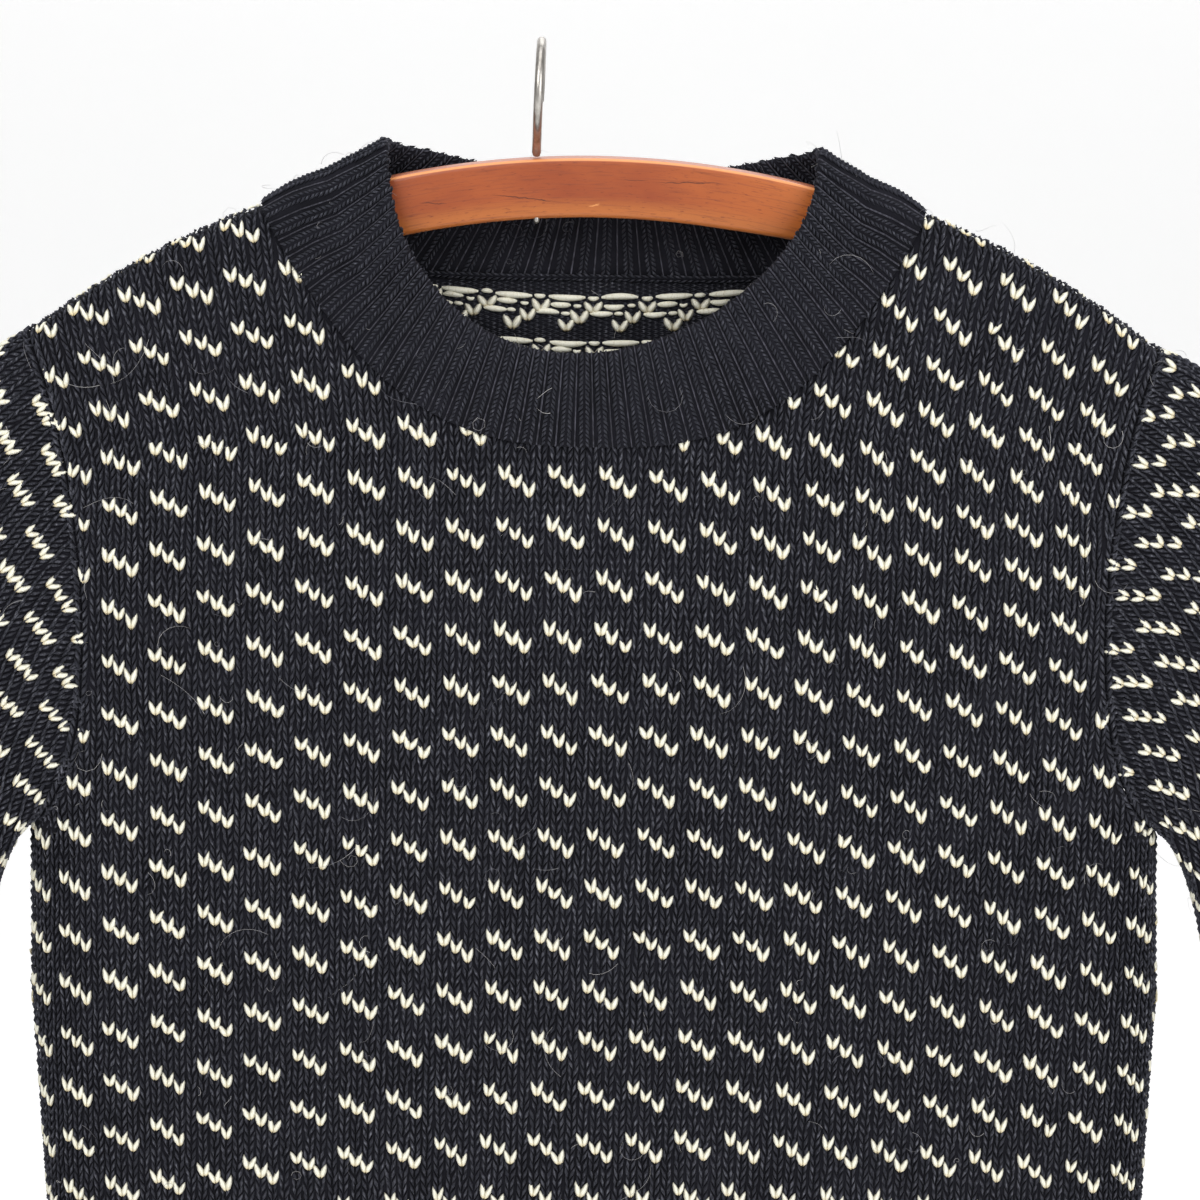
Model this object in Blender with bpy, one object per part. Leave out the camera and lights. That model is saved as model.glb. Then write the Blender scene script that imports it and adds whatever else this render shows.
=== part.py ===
"""Birdseye crew-neck sweater hung on a curved wooden hanger with a steel wire hook.

Metres, +Z up. The front faces -Y and +X is to the right in a front view.
The origin is the top of the inside of the hook, where a rail carries it.
Left and right in the names are the viewer's, from the front.
"""

import math
from collections import namedtuple

import bmesh
import bpy
import numpy as np

# Cloth: a stranded wool knit, one layer thick, and the doubled rib of the collar
WALL = 0.0028
RIB_VALLEY = 0.0026
RIB_HEIGHT = 0.0012
COLLAR_EXTRA = 0.0006
SEAM_GAP = 0.0003

# Hanger bar: an arc of wood seen from the front, its highest point right of the hook
BAR_TOP_X = 0.0158
BAR_TOP_Z = -0.0447
BAR_RADIUS = 0.380
BAR_HEIGHT = 0.0243
BAR_END_HEIGHT = 0.018
BAR_HALF_THICK = 0.0065
BAR_CORNER = 0.003
BAR_HALF_ANGLE = math.radians(31.0)
BAR_TILT = math.radians(-2.76)
BAR_STEPS = 22
BAR_TAPER_START = 0.35
BarEnd = namedtuple("BarEnd", "place size")
# The rounded ends of the bar, by place along its half and size of the section there
BAR_ENDS = (BarEnd(0.97, 1.0), BarEnd(0.992, 0.82), BarEnd(1.0, 0.45))

# Hook: bent wire whose crook lies in the YZ plane
WIRE_RADIUS = 0.0019
CROOK_INSIDE = 0.017
HOOK_LEAN = 0.052
HOOK_BASE_Z = -0.0443
HookPoint = namedtuple("HookPoint", "y z")
# The wire rises from the bar and bends back under the crook
HOOK_SHANK = (
    HookPoint(0.0, HOOK_BASE_Z),
    HookPoint(0.0, -0.0425),
    HookPoint(-0.0030, -0.0385),
    HookPoint(-0.0085, -0.0345),
    HookPoint(-0.0135, -0.0302),
)
CROOK_START = 200
CROOK_END = -30
CROOK_STEP = 15

# Body, measured from the middle of the neck
NECK_X = 0.02105
NECK_HALF_WIDTH = 0.1354
SHOULDER_HALF_WIDTH = 0.232
HEM_SEAM_Z = -0.660
HEM_RIB_LENGTH = 0.065
UNDERARM_SHARE = 0.386

SideRow = namedtuple("SideRow", "share half_width")
# Half width of the body below the underarm, by share of the way from shoulder to hem seam
SIDE_SEAM = (
    SideRow(UNDERARM_SHARE, 0.240),
    SideRow(0.52, 0.2425),
    SideRow(0.70, 0.240),
    SideRow(0.89, 0.2325),
    SideRow(1.0, 0.226),
)
# Armhole: handles of its curve, as half width and share of the armhole's depth
ARMHOLE_HANDLES = ((0.205, 0.35), (0.203, 0.90))
ARMHOLE_FLARE = 1.2

RIDGE_CLEARANCE = 0.0012
RIDGE_RADIUS = BAR_RADIUS + RIDGE_CLEARANCE + WALL
RIDGE_ROUND = 0.006
SIDE_ROUND = 0.036
BAR_COVER = 0.011

# How the cloth stands away from the bar, by the distance below the shoulder line
SWELL_START = 0.012
SLACK_START = 0.15
SLACK_OVER = 0.35
SIDE_THINNING = 0.45

# Collar ribs are counted from each shoulder seam to the middle: 24 in front and 16 behind
Face = namedtuple(
    "Face",
    "sign neck_drop neck_power neck_corner rib_marks swell swell_over slack wave wave_phase",
)
FRONT_MARKS = (0, 1, 2, 4, 7, 10, 14, 19, 24)
BACK_MARKS = (0, 1, 2, 4, 6, 9, 12, 14, 16)
FRONT = Face(-1, 0.0944, 2.7, 0.95, FRONT_MARKS, 0.018, 0.105, 0.006, 0.0016, 0.4)
BACK = Face(1, 0.031, 3.5, 0.5, BACK_MARKS, 0.012, 0.050, 0.004, 0.0030, 2.1)
WAVE_LENGTH = 0.155
WAVE_SLANT = 2.0
WAVE_START = 0.12
WAVE_OVER = 0.25

# Grid of one body panel
SHOULDER_COLUMNS = 5
NECK_SPAN = 0.58
RIDGE_ROWS = (0.0, 0.0028, 0.0075, 0.015)
ARMHOLE_ROWS = 8
SIDE_ROWS = 9

UNDERARM_ROW = len(RIDGE_ROWS) - 1 + ARMHOLE_ROWS
NECK_START = SHOULDER_COLUMNS
NECK_END = SHOULDER_COLUMNS + 2 * (len(FRONT.rib_marks) - 1)

# Collar, measured from the hook
COLLAR_MIDDLE_X = 0.02465
COLLAR_HALF_WIDTH = 0.0866
COLLAR_PEAK_Z = -0.0405
COLLAR_PEAK_TILT = -0.002
COLLAR_FRONT_DROP = 0.0795
COLLAR_FRONT_SKEW = 0.15
COLLAR_FRONT_Y = -0.0285
COLLAR_BACK_DROP = 0.0105
COLLAR_BACK_Y = 0.0235
COLLAR_ROLL = 0.0025
COLLAR_ROWS = 5

# Sleeves, hanging clear of the body
SLEEVE_OUTER = ((0.290, -0.142), (0.372, -0.225), (0.396, -0.430), (0.377, -0.640))
SLEEVE_INNER = ((0.262, -0.348), (0.274, -0.430), (0.278, -0.540), (0.278, -0.640))
SLEEVE_RINGS = 11
SLEEVE_TURN = 5
SLEEVE_HALF_DEPTH = (0.021, 0.0235, 0.021, 0.018, 0.016)
SLEEVE_SECTION_POWER = 0.85
SLEEVE_RING_POWER = 1.1
CUFF_LENGTH = 0.070
CUFF_TAPER = 0.90
CUFF_RIB_PITCH = 0.0066
HEM_RIB_PITCH = 0.0072
HEM_TAPER = 0.955
HEM_ROWS = (0.0, 0.4, 1.0)

Look = namedtuple("Look", "name colour roughness metallic")
NAVY_WOOL = Look("navy wool knit", (0.019, 0.020, 0.025), 0.95, 0.0)
NAVY_RIB = Look("navy wool rib", (0.022, 0.022, 0.027), 0.95, 0.0)
VARNISHED_WOOD = Look("varnished beech", (0.43, 0.12, 0.05), 0.3, 0.0)
STEEL_WIRE = Look("bright steel wire", (0.55, 0.54, 0.52), 0.3, 1.0)


def clear_scene():
    for found in list(bpy.data.objects):
        bpy.data.objects.remove(found, do_unlink=True)


def material(look):
    made = bpy.data.materials.get(look.name)
    if made:
        return made
    made = bpy.data.materials.new(look.name)
    made.use_nodes = True
    shader = made.node_tree.nodes["Principled BSDF"]
    shader.inputs["Base Color"].default_value = (*look.colour, 1.0)
    shader.inputs["Roughness"].default_value = look.roughness
    shader.inputs["Metallic"].default_value = look.metallic
    return made


def smooth(share):
    """0 to 1 with level ends."""
    share = np.clip(share, 0.0, 1.0)
    return share * share * (3.0 - 2.0 * share)


def rounded(distance, radius):
    """Share of the full depth at this distance from an edge that rounds over."""
    left = 1.0 - np.clip(distance / radius, 0.0, 1.0)
    return np.sqrt(1.0 - left * left)


def bezier(points, share):
    """A point on the Bezier curve of any number of handles."""
    points = [np.array(point, float) for point in points]
    while len(points) > 1:
        points = [a + (b - a) * share for a, b in zip(points, points[1:])]
    return points[0]


def unit(vectors):
    return vectors / np.linalg.norm(vectors, axis=-1, keepdims=True)


# Outline of the body


def ridge_height(x):
    """Height of the shoulder line over the bar, at x from the neck's middle."""
    across = x + NECK_X - BAR_TOP_X
    return BAR_TOP_Z - BAR_RADIUS + np.sqrt(RIDGE_RADIUS**2 - across**2)


def below_ridge(x, z):
    return RIDGE_RADIUS - np.hypot(x + NECK_X - BAR_TOP_X, z - BAR_TOP_Z + BAR_RADIUS)


def side_height(side, share):
    """Height on the armhole or side seam at a share of the way down it."""
    top = ridge_height(side * SHOULDER_HALF_WIDTH)
    return top + (HEM_SEAM_Z - top) * share


def side_half_width(share):
    if share >= UNDERARM_SHARE:
        return np.interp(
            share, [row.share for row in SIDE_SEAM], [row.half_width for row in SIDE_SEAM]
        )
    depth = share / UNDERARM_SHARE
    curve = [(SHOULDER_HALF_WIDTH, 0.0), *ARMHOLE_HANDLES, (SIDE_SEAM[0].half_width, 1.0)]
    samples = np.array([bezier(curve, step / 60) for step in range(61)])
    return np.interp(depth, samples[:, 1], samples[:, 0])


def outline_half_width(x, z):
    """Half width of the whole hollow, which runs on into the sleeve above the underarm."""
    top = ridge_height(math.copysign(SHOULDER_HALF_WIDTH, x))
    share = (top - z) / (top - HEM_SEAM_Z)
    widths = [row.half_width for row in SIDE_SEAM]
    width = np.interp(share, [row.share for row in SIDE_SEAM], widths)
    above = max(0.0, UNDERARM_SHARE - share) * (top - HEM_SEAM_Z)
    return width + ARMHOLE_FLARE * above


def half_depth(face, x, z):
    """Distance of the cloth's outer face from the plane of the seams."""
    down = below_ridge(x, z)
    swell = face.swell * smooth((down - SWELL_START) / face.swell_over)
    swell -= face.slack * smooth((down - SLACK_START) / SLACK_OVER)
    wave = math.cos(2 * math.pi * x / WAVE_LENGTH + face.wave_phase + WAVE_SLANT * z)
    swell += face.wave * wave * smooth((down - WAVE_START) / WAVE_OVER)
    depth = BAR_COVER + swell * (1.0 - SIDE_THINNING * (x / SIDE_SEAM[0].half_width) ** 2)
    edge = rounded(outline_half_width(x, z) - abs(x), SIDE_ROUND)
    return depth * edge * rounded(down, RIDGE_ROUND)


def face_normal(face, x, z):
    step = 0.0004
    slope_x = (half_depth(face, x + step, z) - half_depth(face, x - step, z)) / (2 * step)
    slope_z = (half_depth(face, x, z + step) - half_depth(face, x, z - step)) / (2 * step)
    return unit(np.array([-slope_x, face.sign, -slope_z]))


# Body panels


def neck_places(face):
    """Places on half the neck seam, 0 in the middle to 1 at the shoulder, at its rib marks."""
    places = 1 - np.linspace(0.0, 1.0, 401) ** 3
    seam = []
    for place in places:
        x, z = top_point(face, -NECK_SPAN * place)
        seam.append((x, half_depth(face, x, z), z))
    steps = np.linalg.norm(np.diff(np.array(seam), axis=0), axis=1)
    length = np.concatenate([[0.0], np.cumsum(steps)])
    marks = length[-1] * np.array(face.rib_marks) / face.rib_marks[-1]
    return np.interp(marks, length, places)[::-1]


def column_shares(face):
    """Places of the columns across a panel, -1 to 1, at its top and at its hem seam."""
    turn = np.sin(np.linspace(0.0, math.pi / 2, SHOULDER_COLUMNS + 1))[1:]
    top = np.concatenate([NECK_SPAN * neck_places(face), NECK_SPAN + (1 - NECK_SPAN) * turn])
    hem = np.sin(np.linspace(0.0, math.pi / 2, len(top)))
    return [np.concatenate([-half[:0:-1], half]) for half in (top, hem)]


def row_shares():
    """Places of the rows down a panel, 0 to 1, closer at the shoulder line and the underarm."""
    even = np.linspace(0.0, 1.0, ARMHOLE_ROWS + 1)[1:]
    closer = (even + np.sin(even * math.pi / 2)) / 2
    closer[-2] = (closer[-2] + 2) / 3
    arm = RIDGE_ROWS[-1] + (UNDERARM_SHARE - RIDGE_ROWS[-1]) * closer
    side = np.linspace(UNDERARM_SHARE, 1.0, SIDE_ROWS + 1)[1:]
    return [*RIDGE_ROWS, *arm, *side]


def top_point(face, share):
    """On the shoulder seam or the neck seam, as x and z."""
    if abs(share) > NECK_SPAN:
        along = (abs(share) - NECK_SPAN) / (1 - NECK_SPAN)
        x = NECK_HALF_WIDTH + (SHOULDER_HALF_WIDTH - NECK_HALF_WIDTH) * along
        x = math.copysign(x, share)
        return np.array([x, ridge_height(x)])
    across = share / NECK_SPAN
    left, right = ridge_height(-NECK_HALF_WIDTH), ridge_height(NECK_HALF_WIDTH)
    z = left + (right - left) * (across + 1) / 2
    z -= face.neck_drop * (1 - abs(across) ** face.neck_power) ** face.neck_corner
    return np.array([NECK_HALF_WIDTH * across, z])


def side_point(side, share):
    return np.array([side * side_half_width(share), side_height(side, share)])


def flat_place(face, across_top, across_hem, down):
    """x and z of a panel's point, blended from its top, its sides and its hem seam."""
    hem = np.array([SIDE_SEAM[-1].half_width * across_hem, HEM_SEAM_Z])
    place = top_point(face, across_top) * (1 - down) + hem * down
    across = across_top * (1 - down) + across_hem * down
    for side in (-1, 1):
        corner_top = top_point(face, side)
        corner_hem = np.array([side * SIDE_SEAM[-1].half_width, HEM_SEAM_Z])
        straight = corner_top * (1 - down) + corner_hem * down
        place = place + (side_point(side, down) - straight) * (1 + side * across) / 2
    return place


def edge_normal(face, row, column, x, z, columns, rows):
    """The way the wall faces on a seam, the same for both pieces that meet there."""
    side = 0 if 0 < column < columns - 1 else (-1 if column == 0 else 1)
    if row == 0 and not NECK_START < column < NECK_END:
        return unit(np.array([x + NECK_X - BAR_TOP_X, 0.0, z - BAR_TOP_Z + BAR_RADIUS]))
    if side and row == UNDERARM_ROW:
        return np.array([0.0, 0.0, -1.0])
    if side and row > UNDERARM_ROW:
        return np.array([float(side), 0.0, 0.0])
    normal = face_normal(face, x, z)
    if side:
        normal[0] = 0.0
    if row == rows - 1:
        normal[2] = 0.0
    return unit(normal)


def panel_grid(face):
    """Outer points and normals of a panel, as rows by columns."""
    (tops, hems), downs = column_shares(face), row_shares()
    points = np.zeros((len(downs), len(tops), 3))
    normals = np.zeros_like(points)
    for row, down in enumerate(downs):
        for column, (across_top, across_hem) in enumerate(zip(tops, hems)):
            x, z = flat_place(face, across_top, across_hem, down)
            y = face.sign * max(half_depth(face, x, z), SEAM_GAP / 2)
            points[row, column] = (x + NECK_X, y, z)
            normals[row, column] = edge_normal(
                face, row, column, x, z, len(tops), len(downs)
            )
    return points, normals


# Meshes


def new_object(name, mesh_data, look):
    mesh = bpy.data.meshes.new(name)
    mesh_data.to_mesh(mesh)
    mesh_data.free()
    mesh.materials.append(material(look))
    mesh.shade_smooth()
    mesh.set_sharp_from_angle(angle=math.radians(50))
    made = bpy.data.objects.new(name, mesh)
    bpy.context.scene.collection.objects.link(made)
    return made


def edge_faces(outer, inner, wrap):
    """Faces that close a wall's edge. The outer row has as many points as the inner or twice."""
    count = len(inner)
    steps = count if wrap else count - 1
    faces = []
    for i in range(steps):
        j = (i + 1) % count
        if len(outer) == len(inner):
            falling = (outer[i].co - inner[j].co).length
            rising = (outer[j].co - inner[i].co).length
            split = (i, j) if falling < rising else (j, i)
            faces.append((outer[i], outer[j], inner[split[1]]))
            faces.append((inner[j], inner[i], outer[split[0]]))
            continue
        valley, crest, following = outer[2 * i], outer[2 * i + 1], outer[(2 * i + 2) % len(outer)]
        faces.append((valley, crest, inner[i]))
        faces.append((crest, inner[j], inner[i]))
        faces.append((crest, following, inner[j]))
    return faces


def wall_object(name, outer, inner, look, wrap):
    """One closed wall from its outer and inner grids, rows by columns."""
    data = bmesh.new()
    sheets = []
    for grid in (outer, inner):
        sheets.append([[data.verts.new(point) for point in row] for row in grid])
    for sheet in sheets:
        for upper, lower in zip(sheet, sheet[1:]):
            count = len(upper)
            for i in range(count if wrap else count - 1):
                j = (i + 1) % count
                data.faces.new((upper[i], upper[j], lower[j], lower[i]))
    for row in (0, -1):
        for face in edge_faces(sheets[0][row], sheets[1][row], wrap):
            data.faces.new(face)
    if not wrap:
        for column in (0, -1):
            upright = [[row[column] for row in sheet] for sheet in sheets]
            for face in edge_faces(upright[0], upright[1], False):
                data.faces.new(face)
    bmesh.ops.recalc_face_normals(data, faces=data.faces)
    return new_object(name, data, look)


def build_panel(name, face):
    points, normals = panel_grid(face)
    wall_object(name, points, points - normals * WALL, NAVY_WOOL, False)
    return points, normals


def rib_counts(points, pitch):
    """Whole ribs for each stretch of a seam."""
    lengths = np.linalg.norm(np.diff(points, axis=0), axis=1)
    return [max(1, round(length / pitch)) for length in lengths]


def ribs_along(points, normals, counts):
    """Splits each stretch of a seam into its ribs, two places a rib."""
    places, facings = [], []
    for a, b, n, m, ribs in zip(points, points[1:], normals, normals[1:], counts):
        for step in range(2 * ribs):
            share = step / (2 * ribs)
            places.append(a + (b - a) * share)
            facings.append(unit(n + (m - n) * share))
    return np.array(places), np.array(facings)


def grid_normals(grid, first):
    """Normals of a closed band of rings, which agree with those given for its first ring."""
    around = np.roll(grid, -1, axis=1) - np.roll(grid, 1, axis=1)
    along = np.gradient(grid, axis=0)
    normals = unit(np.cross(around, along))
    signs = np.sign((normals[0] * first).sum(axis=-1).mean())
    normals = normals * signs
    normals[0] = first
    return normals


def ribbed_band(name, grid, normals, extra):
    """A band of rib: crests between the valleys outside, plain inside."""
    valley = RIB_VALLEY + extra
    thick = np.full(grid.shape[:2], valley)
    thick[:, 1::2] += RIB_HEIGHT
    outer = grid + normals * thick[:, :, None]
    wall_object(name, outer, grid[:, ::2], NAVY_RIB, True)


def joined_loop(front, back, front_normals, back_normals):
    """One closed loop from two half loops that meet at both ends, with no doubled points."""
    ends = (front[0] + back[-1]) / 2, (front[-1] + back[0]) / 2
    points = np.array([ends[0], *front[1:-1], ends[1], *back[1:-1], ends[0]])
    facings = np.array([front_normals[0], *front_normals[1:-1], front_normals[-1]])
    facings = np.array([*facings, *back_normals[1:-1], front_normals[0]])
    return points, facings


# Collar


def collar_edge(angle):
    """The free edge of the collar. From -90 to 90 degrees is the front, left to right."""
    across, forward = math.sin(angle), math.cos(angle)
    x = COLLAR_MIDDLE_X + COLLAR_HALF_WIDTH * across
    z = COLLAR_PEAK_Z + COLLAR_PEAK_TILT * across
    if forward > 0:
        z -= COLLAR_FRONT_DROP * forward * (1 - COLLAR_FRONT_SKEW * across)
        return np.array([x, COLLAR_FRONT_Y * math.sqrt(forward), z])
    z -= COLLAR_BACK_DROP * -forward
    return np.array([x, COLLAR_BACK_Y * math.sqrt(-forward), z])


def spread_along(curve, start, end, count):
    """Evenly spaced points from start up to but without end."""
    samples = np.array([curve(start + (end - start) * step / 400) for step in range(401)])
    steps = np.linalg.norm(np.diff(samples, axis=0), axis=1)
    length = np.concatenate([[0.0], np.cumsum(steps)])
    wanted = length[-1] * np.arange(count) / count
    return np.stack([np.interp(wanted, length, samples[:, axis]) for axis in range(3)], axis=1)


def build_collar(front, back):
    (front_points, front_normals), (back_points, back_normals) = front, back
    neck = slice(NECK_START, NECK_END + 1)
    inner = [
        (points - normals * WALL)[0, neck]
        for points, normals in ((front_points, front_normals), (back_points, back_normals))
    ]
    loop, facing = joined_loop(
        inner[0], inner[1][::-1], front_normals[0, neck], back_normals[0, neck][::-1]
    )
    split = len(inner[0])
    counts = [np.diff(face.rib_marks) for face in (FRONT, BACK)]
    counts = [[*half, *half[::-1]] for half in counts]
    half_a = ribs_along(loop[:split], facing[:split], counts[0])
    half_b = ribs_along(loop[split - 1:], facing[split - 1:], counts[1])
    seam = np.concatenate([half_a[0], half_b[0]])
    facing = np.concatenate([half_a[1], half_b[1]])
    edge = np.concatenate([
        spread_along(collar_edge, -math.pi / 2, math.pi / 2, len(half_a[0])),
        spread_along(collar_edge, math.pi / 2, 3 * math.pi / 2, len(half_b[0])),
    ])
    along = np.roll(seam, -1, axis=0) - np.roll(seam, 1, axis=0)
    away = unit(np.cross(facing, along))
    away *= np.sign((away * (edge - seam)).sum(axis=1, keepdims=True))
    seam = seam + away * SEAM_GAP
    shares = np.linspace(0.0, 1.0, COLLAR_ROWS)
    grid = np.array([seam + (edge - seam) * share for share in shares])
    normals = grid_normals(grid, facing)
    roll = COLLAR_ROLL * np.sin(np.pi * shares)
    grid = grid + normals * roll[:, None, None]
    ribbed_band("collar", grid, normals, COLLAR_EXTRA)
    return len(seam) // 2


# Hem


def build_hem(front, back):
    (front_points, front_normals), (back_points, back_normals) = front, back
    inner = [
        (points - normals * WALL)[-1]
        for points, normals in ((front_points, front_normals), (back_points, back_normals))
    ]
    loop, facing = joined_loop(
        inner[0], inner[1][::-1], front_normals[-1], back_normals[-1][::-1]
    )
    seam, facing = ribs_along(loop, facing, rib_counts(loop, HEM_RIB_PITCH))
    middle = np.array([NECK_X, 0.0, HEM_SEAM_Z])
    rows = []
    for share in HEM_ROWS:
        scale = 1 - (1 - HEM_TAPER) * math.sin(math.pi / 2 * share)
        row = middle + (seam - middle) * scale
        row[:, 2] = HEM_SEAM_Z - SEAM_GAP - (HEM_RIB_LENGTH - SEAM_GAP) * share
        rows.append(row)
    ribbed_band("hem_rib", np.array(rows), np.array([facing] * len(rows)), 0.0)
    return len(seam) // 2


# Sleeves


def armhole_loop(side, front, back):
    column = -1 if side > 0 else 0
    down = slice(0, UNDERARM_ROW + 1)
    points = [grid[down, column] for grid, normals in (front, back)]
    facings = [normals[down, column] for grid, normals in (front, back)]
    along = np.gradient(points[0], axis=0)
    outward = unit(np.stack([-along[:, 2], 0 * along[:, 1], side * along[:, 0]], axis=1) * side)
    outward[-1] = (side, 0.0, 0.0)
    points = [half + outward * SEAM_GAP for half in points]
    loop, facing = joined_loop(points[0], points[1][::-1], facings[0], facings[1][::-1])
    return loop[:-1], facing[:-1]


def sleeve_rings(side, loop):
    """Rings from the armhole down to the cuff seam."""
    top, bottom = loop[0], loop[UNDERARM_ROW]
    turn = np.arccos(np.clip((loop[:, 2] - (top + bottom)[2] / 2) / ((top - bottom)[2] / 2), -1, 1))
    turn[UNDERARM_ROW + 1:] *= -1
    depths = np.array(SLEEVE_HALF_DEPTH)

    def ring(share):
        ends = []
        for start, handles in ((top, SLEEVE_OUTER), (bottom, SLEEVE_INNER)):
            places = [(side * x + NECK_X, z) for x, z in handles]
            ends.append(bezier([(start[0], start[2]), *places], share))
        outer, inner = ends
        depth = np.interp(share, np.linspace(0, 1, len(depths)), depths)
        middle, half = (outer + inner) / 2, (outer - inner) / 2
        points = np.zeros_like(loop)
        points[:, 0] = middle[0] + half[0] * np.cos(turn)
        points[:, 2] = middle[1] + half[1] * np.cos(turn)
        points[:, 1] = -depth * np.sign(turn) * np.abs(np.sin(turn)) ** SLEEVE_SECTION_POWER
        return points

    left_over = loop - ring(0.0)
    rings = []
    for step in range(SLEEVE_RINGS + 1):
        keep = max(0.0, 1 - step / SLEEVE_TURN) ** 2
        rings.append(ring((step / SLEEVE_RINGS) ** SLEEVE_RING_POWER) + left_over * keep)
    return np.array(rings)


def build_sleeve(side, name, front, back):
    loop, facing = armhole_loop(side, front, back)
    grid = sleeve_rings(side, loop)
    normals = grid_normals(grid, facing)
    axis = unit(np.cross(grid[-1][0] - grid[-1][UNDERARM_ROW], (0.0, 1.0, 0.0)))
    last = normals[-1] - np.outer(normals[-1] @ axis, axis)
    normals[-1] = unit(last)
    wall_object("sleeve_" + name, grid, grid - normals * WALL, NAVY_WOOL, True)
    build_cuff("cuff_" + name, (grid - normals * WALL)[-1], normals[-1], axis)


def build_cuff(name, inner, facing, axis):
    if axis[2] > 0:
        axis = -axis
    closed = np.concatenate([inner, inner[:1]])
    counts = rib_counts(closed, CUFF_RIB_PITCH)
    seam, facing = ribs_along(closed, np.concatenate([facing, facing[:1]]), counts)
    middle = inner.mean(axis=0)
    rows = []
    for share in (0.0, 1.0):
        scale = 1 - (1 - CUFF_TAPER) * share
        row = middle + (seam - middle) * scale
        rows.append(row + axis * (SEAM_GAP + (CUFF_LENGTH - SEAM_GAP) * share))
    ribbed_band(name, np.array(rows), np.array([facing] * 2), 0.0)


# Hanger


def bar_section(height):
    """Outline of the bar across its length: distance down from the top, and y."""
    corners = (
        (1, 1, 90.0), (1, -1, 0.0), (-1, -1, 270.0), (-1, 1, 180.0),
    )
    outline = []
    for y_side, z_side, start in corners:
        for turn in (0.0, 45.0, 90.0):
            angle = math.radians(start - turn)
            y = y_side * (BAR_HALF_THICK - BAR_CORNER) + BAR_CORNER * math.cos(angle)
            up = -BAR_CORNER if z_side > 0 else BAR_CORNER - height
            outline.append((up + BAR_CORNER * math.sin(angle), y))
    return outline


def build_bar():
    data = bmesh.new()
    rings = []
    ends_places = [end.place for end in BAR_ENDS]
    ends_sizes = [end.size for end in BAR_ENDS]
    straight, ends = ends_places[0], ends_places[1:]
    middle = np.linspace(-straight, straight, BAR_STEPS)
    for place in [*(-place for place in ends[::-1]), *middle, *ends]:
        angle = BAR_TILT + BAR_HALF_ANGLE * place
        taper = smooth((abs(place) - BAR_TAPER_START) / (1 - BAR_TAPER_START))
        height = BAR_HEIGHT + (BAR_END_HEIGHT - BAR_HEIGHT) * taper
        shrink = np.interp(abs(place), ends_places, ends_sizes)
        ring = []
        for up, y in bar_section(height):
            up = (up + height / 2) * shrink - height / 2
            reach = BAR_RADIUS + up
            x = BAR_TOP_X + reach * math.sin(angle)
            z = BAR_TOP_Z - BAR_RADIUS + reach * math.cos(angle)
            ring.append(data.verts.new((x, y * shrink, z)))
        rings.append(ring)
    for a, b in zip(rings, rings[1:]):
        for i in range(len(a)):
            j = (i + 1) % len(a)
            data.faces.new((a[i], a[j], b[j], b[i]))
    data.faces.new(rings[0])
    data.faces.new(rings[-1])
    bmesh.ops.recalc_face_normals(data, faces=data.faces)
    return new_object("hanger_bar", data, VARNISHED_WOOD)


def hook_route():
    """Centreline of the wire, from its foot on the bar round the crook to its tip."""
    radius = CROOK_INSIDE + WIRE_RADIUS
    places = list(HOOK_SHANK)
    for turn in range(CROOK_START, CROOK_END - 1, -CROOK_STEP):
        angle = math.radians(turn)
        places.append((radius * math.cos(angle), radius * math.sin(angle) - CROOK_INSIDE))
    return [(HOOK_LEAN * z, y, z) for y, z in places]


def build_hook():
    curve = bpy.data.curves.new("hook", "CURVE")
    curve.dimensions = "3D"
    curve.bevel_depth = WIRE_RADIUS
    curve.bevel_resolution = 2
    curve.use_fill_caps = True
    route = hook_route()
    spline = curve.splines.new("POLY")
    spline.points.add(len(route) - 1)
    for point, place in zip(spline.points, route):
        point.co = (*place, 1.0)
    curve.materials.append(material(STEEL_WIRE))
    made = bpy.data.objects.new("hook", curve)
    bpy.context.scene.collection.objects.link(made)
    return made


def main():
    clear_scene()
    front = build_panel("front", FRONT)
    back = build_panel("back", BACK)
    collar_ribs = build_collar(front, back)
    hem_ribs = build_hem(front, back)
    for side, name in ((-1, "left"), (1, "right")):
        build_sleeve(side, name, front, back)
    build_bar()
    build_hook()
    print("ribs: collar", collar_ribs, "hem", hem_ribs)


main()
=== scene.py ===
"""Looks of the birdseye sweater on its wooden hanger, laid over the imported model.

Metres, +Z up, the front facing -Y. Heights and half widths are those of the model's own cut.
"""

import math
from collections import namedtuple

import bmesh
import bpy
import numpy as np
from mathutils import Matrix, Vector


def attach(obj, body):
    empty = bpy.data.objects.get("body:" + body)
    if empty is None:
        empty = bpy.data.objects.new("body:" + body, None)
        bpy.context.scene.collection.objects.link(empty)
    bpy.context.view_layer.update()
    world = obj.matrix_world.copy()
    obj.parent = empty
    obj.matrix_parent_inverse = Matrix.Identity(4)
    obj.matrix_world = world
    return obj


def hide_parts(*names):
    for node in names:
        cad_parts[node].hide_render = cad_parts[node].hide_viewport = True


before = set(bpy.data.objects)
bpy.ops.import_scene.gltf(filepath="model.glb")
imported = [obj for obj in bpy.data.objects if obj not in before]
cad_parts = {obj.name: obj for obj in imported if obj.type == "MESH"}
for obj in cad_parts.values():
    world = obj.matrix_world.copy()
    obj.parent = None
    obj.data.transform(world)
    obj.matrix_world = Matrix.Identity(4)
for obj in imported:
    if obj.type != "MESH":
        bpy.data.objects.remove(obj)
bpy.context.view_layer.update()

bl_info = {
    "name": "Birdseye Sweater",
    "version": (1, 0, 0),
    "blender": (4, 5, 0),
    "location": "View3D > Sidebar > Sweater",
    "description": "Knits a birdseye sweater over its model and dresses its hanger",
    "category": "Object",
}

KNIT_SLOT = "birdseye_knit"
CREAM_SLOT = "cream_wool"

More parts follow.
